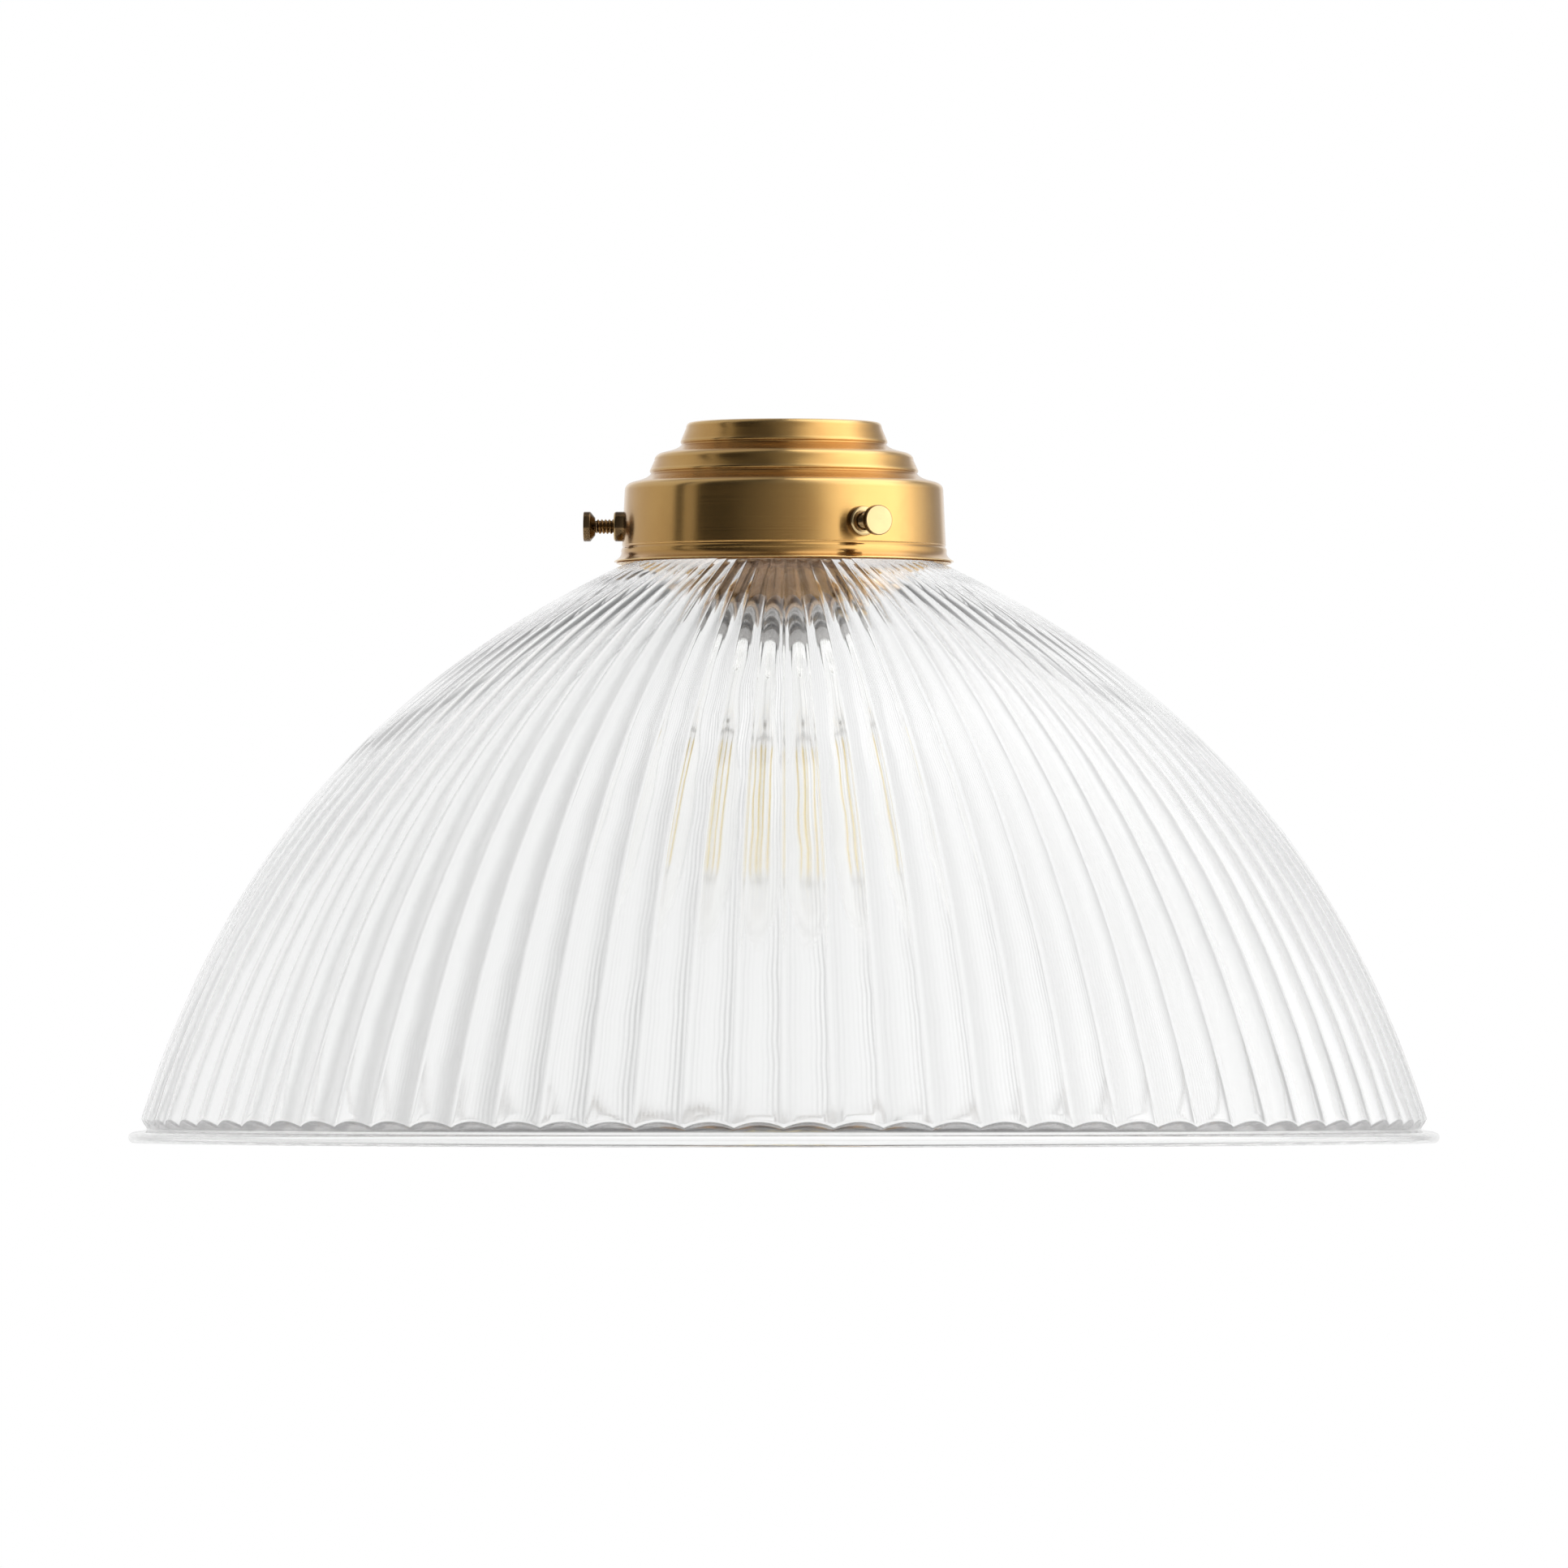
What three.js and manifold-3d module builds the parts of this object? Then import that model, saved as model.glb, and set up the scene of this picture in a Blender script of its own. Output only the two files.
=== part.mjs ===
// Prismatic glass pendant light: a ribbed glass dome held in a stepped brass gallery by three
// thumb screws, with a lampholder and a filament bulb inside.
// Millimetres, +Z up. The origin is the centre of the gallery's flat top face.
import * as THREE from 'three';
import { mergeVertices } from 'three/addons/utils/BufferGeometryUtils.js';
import Module from 'manifold-3d';

// Glass shade
const fitterRadius = 41.25;        // neck bead, the standard 3 1/4 inch fitting
const neckGrooveDepth = 2.65;      // how far the groove that the screws grip stands in
const neckWall = 4.2;
const neckBeadHeight = 5.2;
const neckBeadRound = 1.6;
const neckBeadChamfer = 0.8;
const neckFlareHeight = 4.6;       // curve from the groove out into the dome
const domeStartOut = 1.75;         // dome's start, outside the neck bead
const domeBelowLip = 0.7;
const domeStartSlope = 25.2;       // degrees below level
const domeStartReachShare = 0.3565; // first handle of the dome's curve, as a share of its chord
const domeFootSlope = 72.2;
const domeFootReachShare = 0.3818;
const domeWall = 4.6;
const neckColumns = 42;            // facets round the plain neck, two ribs to each
const ribHeight = 1.5;             // crest to valley at the foot
const rimRadius = 175.0;
const rimProud = 4.0;              // how far the rim stands out past the dome's foot
const rimHeight = 4.8;
const rimRound = 1.6;
const rimChamfer = 0.8;
const rimRise = 3.8;               // hollow curve from the rim up to the ribs
const shadeDrop = 155.2;           // brass lip to rim bottom

// Gallery
const sheet = 0.85;                // brass sheet
const fitterPlay = 0.5;            // between the glass bead and the brass wall
const bodyTaper = 0.7;
const bodyHeight = 17.3;
const bodyRise = 2.7;              // hollow curve that widens into the body
const middleStep = 7.9;            // how far the middle tier stands in from the body
const middleTaper = 1.1;
const middleHeight = 5.2;
const middleRise = 2.6;
const crownStep = 8.6;             // how far the top tier stands in from the middle tier
const crownTaper = 1.5;
const crownHeight = 5.6;
const crownRound = 1.5;
const shoulderWidth = 3.3;         // rounded shoulder at the top of the two lower tiers
const shoulderHeight = 3.2;
const shoulderFall = 1.1;          // how far the shoulder falls across its width
const coveOut = 1.0;               // bend of the hollow curve under each tier
const coveUp = 0.8;
const lipHeight = 4.0;
const lipFlare = 2.2;
const lipBendShare = 0.333;        // bend of the lip's curve above its edge, in its height

// Thumb screws
const screwCount = 3;
const screwFirstAngle = 28;        // degrees from the front, towards +X
const screwAboveLip = 5.6;         // screw axis above the top of the lip
const screwShankRadius = 2.0;
const screwHeadRadius = 4.0;
const screwHeadThickness = 1.4;
const screwHeadTaper = 1.8;
const screwTaperOut = 1.2;
const screwStandOff = 4.9;         // bare thread between boss and head
const bossRadius = 4.0;
const bossStand = 2.5;
const bossRound = 0.5;
const bossSpigotRadius = 3.0;
const tipLength = 2.4;
const tipRadius = 1.6;
const tipSpigotRadius = 0.8;
const tipSpigotLength = 1.6;

// Bush and locknut in the top of the gallery
const bushBoreRadius = 4.45;       // cord way, M10 x 1 inside
const bushTubeRadius = 6.5;
const bushFlangeWidth = 3.5;
const bushFlangeThickness = 2.0;
const locknutSides = 6;
const locknutWall = 2.0;
const locknutThickness = 2.8;

// Lampholder
const holderWall = 0.9;
const collarWall = 2.4;
const collarHeight = 4.6;
const collarRound = 0.8;
const capShoulderRound = 3.5;
const capWallHeight = 11.2;
const spigotHeight = 4.2;
const skirtHeight = 25.7;
const skirtBead = 0.6;             // how far the skirt's edge is beaded out
const skirtBeadHeight = 1.2;
const skirtFlareHeight = 2.4;
const coreTopThickness = 13.0;
const coreFlangeThickness = 3.0;
const sleeveWall = 1.6;
const sleeveShort = 1.5;           // sleeve end above the skirt's edge
const pocketDepth = 2.8;

// Screw shell and bulb cap, E27
const capThreadRadius = 13.2;      // crest of the bulb's thread
const threadDepth = 1.05;
const threadPitch = 3.62;
const threadPlay = 0.4;
const shellWall = 0.6;
const shellHoleRadius = 7.0;
const bulbContactRadius = 4.5;
const bulbContactHeight = 0.9;
const bulbPinRadius = 1.9;
const bulbPinLength = 3.3;
const insulatorTopWidth = 3.0;
const insulatorConeHeight = 2.4;
const insulatorPlugHeight = 0.8;
const bulbShellWall = 0.6;
const bulbThreadLength = 18.5;
const bulbCollarOut = 0.3;
const bulbCollarHeight = 4.0;

// Bulb glass and filaments
const bulbRadius = 30.0;
const bulbLength = 106.0;
const bulbNeckOverlap = 3.0;       // glass neck inside the cap
const bulbNeckStraight = 7.0;
const bulbNeckReachShare = 0.45;   // handles of the curve from neck to globe
const bulbGlobeReachShare = 0.5;
const bulbGlassWall = 0.9;
const flareHeight = 8.0;
const stemRadius = 4.0;
const stemWall = 1.1;
const stemPressHeight = 16.7;
const stemRodRadius = 1.4;
const filamentRadius = 1.0;
const filamentTabRadius = 0.45;
const filamentTabLength = 1.6;
const filamentCircle = 10.4;       // radius of the circle that the filaments stand on
const filamentFirstAngle = 12;
const filamentCount = 4;
const frameWireRadius = 0.5;
const frameRingWidth = 1.3;
const frameRingHeight = 1.6;
const frameBelowStem = 1.4;
const frameAboveTip = 16.0;        // lower filament frame above the bulb's tip

// Terminals and centre contact
const terminalWidth = 4.6;
const terminalDepth = 4.2;
const terminalHeight = 6.2;
const terminalOffset = 9.0;
const terminalWireRadius = 0.9;
const wireHoleShare = 0.6;         // wire hole's place in a terminal's height
const earthOffset = 11.6;
const earthHeight = 3.6;
const terminalScrewRadius = 1.0;
const terminalScrewHeadRadius = 1.9;
const terminalScrewHeadHeight = 1.1;
const screwSlotWidth = 0.5;
const screwSlotDepth = 0.5;
const leafWidth = 5.0;
const leafThickness = 0.5;
const leafHalfLength = 5.2;
const leafDrop = 1.5;
const leafBendShare = 0.333;       // bend's half length, in the leaf's half length

// Shared clearances and fineness
const gap = 0.3;                   // between pieces that touch or screw together
const overrun = 2.0;               // how far a cutting body reaches past what it cuts
const domeRows = 8;
const domeInnerRows = 7;
const curveSteps = 2;
const roundSteps = 2;
const galleryColumns = 40;
const holderColumns = 28;
const bulbColumns = 24;
const smallColumns = 12;
const wireColumns = 8;
const threadColumns = 20;
const threadRowsPerTurn = 4;

// Depths below the origin and radii that follow from the sizes above
const crownFoot = crownHeight;
const middleTop = crownFoot + middleRise;
const middleFoot = middleTop + middleHeight;
const bodyTop = middleFoot + bodyRise;
const bodyFoot = bodyTop + bodyHeight;
const lipFoot = bodyFoot + lipHeight;
const bodyRadius = fitterRadius + fitterPlay + sheet;
const bodyFootRadius = bodyRadius + bodyTaper;
const lipRadius = bodyFootRadius + lipFlare;
const middleRadius = bodyRadius - middleStep;
const crownRadius = middleRadius - crownStep;
const wallTop = bodyTop + shoulderHeight;

const screwDepth = bodyFoot - screwAboveLip;
const beadFoot = screwDepth - tipRadius - gap;
const beadTop = beadFoot - neckBeadHeight;
const neckGrooveRadius = fitterRadius - neckGrooveDepth;
const neckInnerRadius = neckGrooveRadius - neckWall;
const domeStartRadius = fitterRadius + domeStartOut;
const domeStartDepth = lipFoot + domeBelowLip;
const shadeFoot = lipFoot + shadeDrop;
const rimTop = shadeFoot - rimHeight;
const domeFootRadius = rimRadius - rimProud;
const domeFootDepth = rimTop - rimRise;
const ribCount = 2 * neckColumns;

const wallAtScrew = wallRadiusAt(screwDepth);
const bossFace = wallAtScrew + bossStand;
const headFoot = bossFace + screwStandOff;
const headTop = headFoot + screwHeadTaper;
const headFace = headTop + screwHeadThickness;
const tipEnd = neckGrooveRadius + gap;
const tipShoulder = tipEnd + tipLength;
const shankEnd = tipShoulder + gap;

const bushCollarFoot = sheet + gap;
const bushFlangeFoot = bushCollarFoot + bushFlangeThickness;
const locknutTop = bushFlangeFoot + gap;
const locknutFoot = locknutTop + locknutThickness;
const holderTop = locknutFoot + gap;
const holderShoulder = holderTop + collarHeight;
const capInnerTop = holderShoulder + holderWall;
const holderSplit = holderShoulder + capShoulderRound + capWallHeight;
const skirtTop = holderSplit + gap;
const skirtFoot = skirtTop + skirtHeight;
const spigotTop = holderSplit - spigotHeight;
const coreFlangeFoot = spigotTop - gap;
const coreTop = coreFlangeFoot - coreFlangeThickness;
const coreInnerTop = coreTop + coreTopThickness;
const sleeveFoot = skirtFoot - sleeveShort;
const shellTop = coreInnerTop + gap;
const shellCrestRadius = capThreadRadius + threadPlay;
const sleeveInnerRadius = shellCrestRadius + shellWall + gap;
const coreBodyRadius = sleeveInnerRadius + sleeveWall;
const spigotInnerRadius = coreBodyRadius + gap;
const spigotRadius = spigotInnerRadius + holderWall;
const holderInnerRadius = spigotRadius + gap;
const holderRadius = holderInnerRadius + holderWall;

const leafTop = coreInnerTop + gap;
const contactTop = leafTop + leafDrop + leafThickness + gap;
const insulatorTop = contactTop + bulbContactHeight + gap;
const bulbShellTop = insulatorTop + insulatorConeHeight;
const bulbThreadFoot = bulbShellTop + bulbThreadLength;
const bulbCapFoot = bulbThreadFoot + bulbCollarHeight;
const bulbShellInner = capThreadRadius - threadDepth - bulbShellWall;
const insulatorRadius = bulbShellInner - gap;
const bulbNeckRadius = bulbShellInner - gap;
const bulbNeckTop = bulbCapFoot - bulbNeckOverlap;
const bulbTip = contactTop + bulbLength;
const bulbCentre = bulbTip - bulbRadius;
const flareFoot = bulbNeckTop + flareHeight;
const stemFoot = flareFoot + stemPressHeight;
const upperFrameTop = stemFoot + frameBelowStem;
const upperFrameFoot = upperFrameTop + frameRingHeight;
const filamentTop = upperFrameFoot + gap;
const lowerFrameFoot = bulbTip - frameAboveTip;
const lowerFrameTop = lowerFrameFoot - frameRingHeight;
const filamentFoot = lowerFrameTop - gap;

// Materials
function brassMaterial() {
  return new THREE.MeshStandardMaterial({ color: 0xb98e4a, roughness: 0.35, metalness: 1 });
}

function darkBrassMaterial() {
  return new THREE.MeshStandardMaterial({ color: 0x8a6a3c, roughness: 0.4, metalness: 1 });
}

function glassMaterial() {
  const look = { color: 0xf4f7f8, roughness: 0.03, metalness: 0, transparent: true, opacity: 0.35 };
  return new THREE.MeshStandardMaterial(look);
}

function porcelainMaterial() {
  return new THREE.MeshStandardMaterial({ color: 0xefece4, roughness: 0.3, metalness: 0 });
}

function nickelMaterial() {
  return new THREE.MeshStandardMaterial({ color: 0xc9ccd0, roughness: 0.3, metalness: 1 });
}

function nylonMaterial() {
  return new THREE.MeshStandardMaterial({ color: 0xe6e2d6, roughness: 0.6, metalness: 0 });
}

function blackGlassMaterial() {
  return new THREE.MeshStandardMaterial({ color: 0x17161a, roughness: 0.15, metalness: 0 });
}

function phosphorMaterial() {
  return new THREE.MeshStandardMaterial({ color: 0xf3c85a, roughness: 0.7, metalness: 0 });
}

// Shape helpers
const wasm = await Module();
wasm.setup();

function toRadians(degrees) {
  return degrees * Math.PI / 180;
}

// A point of an outline, from its radius and its depth below the origin.
function point(radius, depth) {
  return new THREE.Vector2(radius, -depth);
}

// Merges shared corners and drops triangles that have shrunk to a line.
function welded(geometry) {
  const bare = geometry.clone();
  bare.deleteAttribute('normal');
  bare.deleteAttribute('uv');
  const merged = mergeVertices(bare);
  const corners = Array.from(merged.index.array);
  const kept = [];
  for (let i = 0; i < corners.length; i += 3) {
    const [a, b, c] = corners.slice(i, i + 3);
    if (a !== b && b !== c && a !== c) {
      kept.push(a, b, c);
    }
  }
  merged.setIndex(kept);
  return merged;
}

function toSolid(geometry) {
  const merged = welded(geometry);
  const vertProperties = new Float32Array(merged.attributes.position.array);
  const triVerts = new Uint32Array(merged.index.array);
  return new wasm.Manifold(new wasm.Mesh({ numProp: 3, vertProperties, triVerts }));
}

function toGeometry(solid) {
  const mesh = solid.getMesh();
  const geometry = new THREE.BufferGeometry();
  geometry.setAttribute('position', new THREE.Float32BufferAttribute(mesh.vertProperties, 3));
  geometry.setIndex(Array.from(mesh.triVerts));
  return geometry;
}

// Twice the signed area inside a closed outline.
function doubleArea(points) {
  let sum = 0;
  points.forEach((a, i) => {
    const b = points[(i + 1) % points.length];
    sum += a.x * b.y - b.x * a.y;
  });
  return sum;
}

// Turns a closed outline round the Z axis. An outline that touches the axis does so in two
// points that follow each other.
function revolve(points, columns) {
  const outline = doubleArea(points) > 0 ? points.slice() : points.slice().reverse();
  const axisAt = outline.findIndex((p, i) => p.x === 0 && outline[(i + 1) % outline.length].x === 0);
  const ordered = outline.map((p, i) => outline[(i + axisAt + 1) % outline.length]);
  if (axisAt < 0) {
    ordered.push(ordered[0].clone());
  }
  const geometry = new THREE.LatheGeometry(ordered, columns);
  geometry.rotateX(Math.PI / 2);
  return welded(geometry);
}

// Moves each point of an open line to its right, as it runs, by a distance.
function offsetLine(points, distance) {
  return points.map((p, i) => {
    const before = points[Math.max(i - 1, 0)];
    const after = points[Math.min(i + 1, points.length - 1)];
    const along = after.clone().sub(before).normalize();
    return new THREE.Vector2(p.x + along.y * distance, p.y - along.x * distance);
  });
}

// Joins rings into one closed skin, the last ring to the first. Each ring has as many points
// as the next, or half or twice as many.
function loft(rings) {
  const starts = [];
  let count = 0;
  rings.forEach((ring) => {
    starts.push(count);
    count += ring.length;
  });
  const faces = [];
  rings.forEach((ring, r) => {
    const next = (r + 1) % rings.length;
    const nextCount = rings[next].length;
    const at = (i) => starts[r] + i % ring.length;
    const to = (i) => starts[next] + i % nextCount;
    const steps = Math.min(ring.length, nextCount);
    for (let i = 0; i < steps; i += 1) {
      if (nextCount === ring.length) {
        faces.push(at(i), to(i), at(i + 1), at(i + 1), to(i), to(i + 1));
      } else if (nextCount > ring.length) {
        faces.push(at(i), to(2 * i), to(2 * i + 1), at(i), to(2 * i + 1), at(i + 1));
        faces.push(at(i + 1), to(2 * i + 1), to(2 * i + 2));
      } else {
        faces.push(at(2 * i), to(i), at(2 * i + 1), at(2 * i + 1), to(i), to(i + 1));
        faces.push(at(2 * i + 1), to(i + 1), at(2 * i + 2));
      }
    }
  });
  const geometry = new THREE.BufferGeometry();
  geometry.setAttribute('position', new THREE.Float32BufferAttribute(rings.flat(2), 3));
  geometry.setIndex(faces);
  return geometry;
}

// Runs from 0 on the crest of a wave to 1 in its valley and back, once round its angle.
function waveDepth(angle) {
  return (1 - Math.cos(angle)) / 2;
}

// A ring round the Z axis whose radius is a function of the angle.
function wavyRing(columns, radiusAt, depth) {
  return Array.from({ length: columns }, (_, i) => {
    const angle = 2 * Math.PI * i / columns;
    return [radiusAt(angle) * Math.cos(angle), radiusAt(angle) * Math.sin(angle), -depth];
  });
}

function plainRing(columns, radius, depth) {
  return wavyRing(columns, () => radius, depth);
}

// Rings of a right-handed screw thread between two depths, from its crest radius.
function threadRings(crestRadius, from, to) {
  const rows = Math.round(Math.abs(to - from) / threadPitch * threadRowsPerTurn);
  return Array.from({ length: rows + 1 }, (_, row) => {
    const depth = from + (to - from) * row / rows;
    const turn = 2 * Math.PI * depth / threadPitch;
    const radiusAt = (angle) => crestRadius - threadDepth * waveDepth(angle + turn);
    return wavyRing(threadColumns, radiusAt, depth);
  });
}

function uprightBar(radius, top, foot, columns) {
  return revolve([point(0, top), point(radius, top), point(radius, foot), point(0, foot)], columns);
}

function block(width, length, top, foot) {
  const box = new THREE.BoxGeometry(width, length, foot - top);
  box.translate(0, 0, -(top + foot) / 2);
  return box;
}

function part(name, geometry, material) {
  const mesh = new THREE.Mesh(geometry, material);
  mesh.name = name;
  return mesh;
}

// Glass shade
// The dome's outer outline, from the neck down to the rim, as one cubic curve.
function domeCurve() {
  const startAngle = toRadians(domeStartSlope);
  const footAngle = toRadians(domeFootSlope);
  const start = point(domeStartRadius, domeStartDepth);
  const foot = point(domeFootRadius, domeFootDepth);
  const chord = start.distanceTo(foot);
  const startReach = domeStartReachShare * chord;
  const footReach = domeFootReachShare * chord;
  const startHandle = point(
    domeStartRadius + startReach * Math.cos(startAngle),
    domeStartDepth + startReach * Math.sin(startAngle),
  );
  const footHandle = point(
    domeFootRadius - footReach * Math.cos(footAngle),
    domeFootDepth - footReach * Math.sin(footAngle),
  );
  return new THREE.CubicBezierCurve(start, startHandle, footHandle, foot);
}

// The neck's outside, from its top down to where the dome starts.
function neckLine() {
  const line = new THREE.Path();
  line.moveTo(neckInnerRadius, -beadTop);
  line.lineTo(fitterRadius - neckBeadRound, -beadTop);
  line.quadraticCurveTo(fitterRadius, -beadTop, fitterRadius, -(beadTop + neckBeadRound));
  line.lineTo(fitterRadius, -(beadFoot - neckBeadChamfer));
  line.lineTo(fitterRadius - neckBeadChamfer, -beadFoot);
  line.lineTo(neckGrooveRadius, -beadFoot);
  line.lineTo(neckGrooveRadius, -(domeStartDepth - neckFlareHeight));
  line.quadraticCurveTo(neckGrooveRadius, -domeStartDepth, domeStartRadius, -domeStartDepth);
  return line.getPoints(roundSteps).slice(0, -1);
}

// The rim, from the dome's foot round to the inside.
function rimLine(foot, innerFoot) {
  const line = new THREE.Path();
  line.moveTo(foot.x, foot.y);
  line.quadraticCurveTo(foot.x + rimChamfer, -rimTop, rimRadius - rimRound, -rimTop);
  line.quadraticCurveTo(rimRadius, -rimTop, rimRadius, -(rimTop + rimRound));
  line.lineTo(rimRadius, -(shadeFoot - rimChamfer));
  line.lineTo(rimRadius - rimChamfer, -shadeFoot);
  line.lineTo(innerFoot.x + rimChamfer, -shadeFoot);
  line.lineTo(innerFoot.x, -(shadeFoot - rimChamfer));
  return line.getPoints(roundSteps).slice(1);
}

// The neck's inside, from the dome's inner start up to below the neck's top.
function neckInnerLine(innerStart) {
  const flareTop = domeStartDepth - neckFlareHeight;
  const line = new THREE.Path();
  line.moveTo(innerStart.x, innerStart.y);
  line.quadraticCurveTo(neckInnerRadius, -domeStartDepth, neckInnerRadius, -flareTop);
  return line.getPoints(roundSteps).slice(1);
}

function glassShade() {
  const outer = domeCurve().getPoints(domeRows);
  const inner = offsetLine(domeCurve().getPoints(domeInnerRows), domeWall);
  const neck = neckLine();
  const plain = (p) => plainRing(neckColumns, p.x, -p.y);
  const smooth = (p) => plainRing(ribCount, p.x, -p.y);
  const ribbed = (p) => {
    const height = ribHeight * p.x / domeFootRadius;
    const radiusAt = (angle) => p.x - height * waveDepth(ribCount * angle);
    return wavyRing(2 * ribCount, radiusAt, -p.y);
  };
  const rings = [
    ...neck.slice(0, -1).map(plain),
    ...neck.slice(-1).map(smooth),
    ...outer.map(ribbed),
    ...rimLine(outer[domeRows], inner[domeInnerRows]).map(smooth),
    ...inner.slice().reverse().map(smooth),
    ...neckInnerLine(inner[0]).map(plain),
  ];
  return part('glass_shade', loft(rings), glassMaterial());
}

// Gallery
// The outside radius of the body's tapered wall at a depth.
function wallRadiusAt(depth) {
  return bodyRadius + bodyTaper * (depth - wallTop) / (bodyFoot - wallTop);
}

// A hollow curve out from the tier above, then a rounded shoulder down to the next wall.
function addShoulder(line, fromRadius, toRadius, top) {
  line.quadraticCurveTo(fromRadius + coveOut, -(top - coveUp), toRadius - shoulderWidth, -top);
  line.quadraticCurveTo(toRadius, -(top + shoulderFall), toRadius, -(top + shoulderHeight));
}

// The outside of the stepped brass, from the bush hole out and down to the lip.
function galleryLine() {
  const line = new THREE.Path();
  const crownFootRadius = crownRadius + crownTaper;
  const middleFootRadius = middleRadius + middleTaper;
  line.moveTo(bushTubeRadius + gap, 0);
  line.lineTo(crownRadius - crownRound, 0);
  line.quadraticCurveTo(crownRadius, 0, crownRadius, -crownRound);
  line.lineTo(crownFootRadius, -crownFoot);
  addShoulder(line, crownFootRadius, middleRadius, middleTop);
  line.lineTo(middleFootRadius, -middleFoot);
  addShoulder(line, middleFootRadius, bodyRadius, bodyTop);
  line.lineTo(bodyFootRadius, -bodyFoot);
  line.quadraticCurveTo(bodyFootRadius, -(lipFoot - lipBendShare * lipHeight), lipRadius, -lipFoot);
  return line.getPoints(curveSteps);
}

function galleryBody() {
  const outer = galleryLine();
  const inner = offsetLine(outer, sheet);
  inner[inner.length - 1].set(lipRadius - sheet, -lipFoot);
  let solid = toSolid(revolve([...outer, ...inner.reverse()], galleryColumns));
  for (let i = 0; i < screwCount; i += 1) {
    const hole = screwBar(bossSpigotRadius + gap, neckGrooveRadius, lipRadius + overrun);
    solid = solid.subtract(toSolid(hole.rotateZ(screwAngle(i))));
  }
  return part('gallery_body', toGeometry(solid), brassMaterial());
}

// The body's tapered wall as a full cone, larger or smaller than its outside by a distance.
function wallCone(distance) {
  const outline = [
    point(0, bodyTop),
    point(wallRadiusAt(bodyTop) + distance, bodyTop),
    point(wallRadiusAt(bodyFoot) + distance, bodyFoot),
    point(0, bodyFoot),
  ];
  return revolve(outline, galleryColumns);
}

// Thumb screws
function screwAngle(index) {
  return toRadians(screwFirstAngle) + 2 * Math.PI * index / screwCount;
}

// Lays a piece that was turned about the Z axis along the first screw's axis, pointing to -Y.
function laidOnScrewAxis(geometry) {
  geometry.rotateX(Math.PI / 2);
  geometry.translate(0, 0, -screwDepth);
  return geometry;
}

function screwBar(radius, from, to) {
  return laidOnScrewAxis(uprightBar(radius, -to, -from, smallColumns));
}

function screwBoss(index) {
  const outline = [
    point(0, -wallAtScrew + overrun),
    point(bossRadius, -wallAtScrew + overrun),
    point(bossRadius, -bossFace + bossRound),
    point(bossRadius - bossRound, -bossFace),
    point(0, -bossFace),
  ];
  const turned = (geometry) => toSolid(geometry.rotateZ(screwAngle(index)));
  const outside = toSolid(wallCone(gap));
  const inside = toSolid(wallCone(-sheet));
  const flange = turned(laidOnScrewAxis(revolve(outline, smallColumns)));
  const spigot = turned(screwBar(bossSpigotRadius, wallAtScrew - overrun, bossFace - bossRound));
  const bore = turned(screwBar(screwShankRadius + gap, neckGrooveRadius, bossFace + overrun));
  const solid = flange.subtract(outside).add(spigot.subtract(inside)).subtract(bore);
  return part(`screw_boss_${index + 1}`, toGeometry(solid), brassMaterial());
}

function thumbScrew(index) {
  const socketRadius = tipSpigotRadius + gap;
  const socketEnd = shankEnd + tipSpigotLength;
  const outline = [
    point(0, -socketEnd),
    point(socketRadius, -socketEnd),
    point(socketRadius, -shankEnd),
    point(screwShankRadius, -shankEnd),
    point(screwShankRadius, -headFoot),
    point(screwShankRadius + screwTaperOut, -headTop),
    point(screwHeadRadius, -headTop),
    point(screwHeadRadius, -headFace),
    point(0, -headFace),
  ];
  const geometry = laidOnScrewAxis(revolve(outline, smallColumns));
  const screw = part(`thumb_screw_${index + 1}`, geometry, brassMaterial());
  screw.rotation.z = screwAngle(index);
  return screw;
}

// The soft tip that presses on the glass. Its spigot sits in the end of the screw.
function screwTip(index) {
  const outline = [
    point(0, -tipEnd),
    point(tipRadius, -tipEnd),
    point(tipRadius, -tipShoulder),
    point(tipSpigotRadius, -tipShoulder),
    point(tipSpigotRadius, -(tipShoulder + tipSpigotLength)),
    point(0, -(tipShoulder + tipSpigotLength)),
  ];
  const geometry = laidOnScrewAxis(revolve(outline, smallColumns));
  const tip = part(`screw_tip_${index + 1}`, geometry, nylonMaterial());
  tip.rotation.z = screwAngle(index);
  return tip;
}

// Bush and locknut
function suspensionBush() {
  const flangeRadius = bushTubeRadius + bushFlangeWidth;
  const outline = [
    point(bushBoreRadius, 0),
    point(bushTubeRadius, 0),
    point(bushTubeRadius, bushCollarFoot),
    point(flangeRadius, bushCollarFoot),
    point(flangeRadius, bushFlangeFoot),
    point(bushTubeRadius, bushFlangeFoot),
    point(bushTubeRadius, capInnerTop),
    point(bushBoreRadius, capInnerTop),
  ];
  return part('suspension_bush', revolve(outline, smallColumns), brassMaterial());
}

function bushLocknut() {
  const cornerRadius = (bushTubeRadius + gap + locknutWall) / Math.cos(Math.PI / locknutSides);
  const hexagon = new THREE.Shape();
  for (let i = 0; i < locknutSides; i += 1) {
    const angle = 2 * Math.PI * i / locknutSides;
    const x = cornerRadius * Math.cos(angle);
    const y = cornerRadius * Math.sin(angle);
    if (i === 0) {
      hexagon.moveTo(x, y);
    } else {
      hexagon.lineTo(x, y);
    }
  }
  const hole = new THREE.Path();
  hole.absarc(0, 0, bushTubeRadius + gap, 0, 2 * Math.PI, true);
  hexagon.holes.push(hole);
  const options = { depth: locknutThickness, bevelEnabled: false, curveSegments: smallColumns };
  const nut = new THREE.ExtrudeGeometry(hexagon, options);
  nut.translate(0, 0, -locknutFoot);
  return part('bush_locknut', nut, brassMaterial());
}

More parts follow.
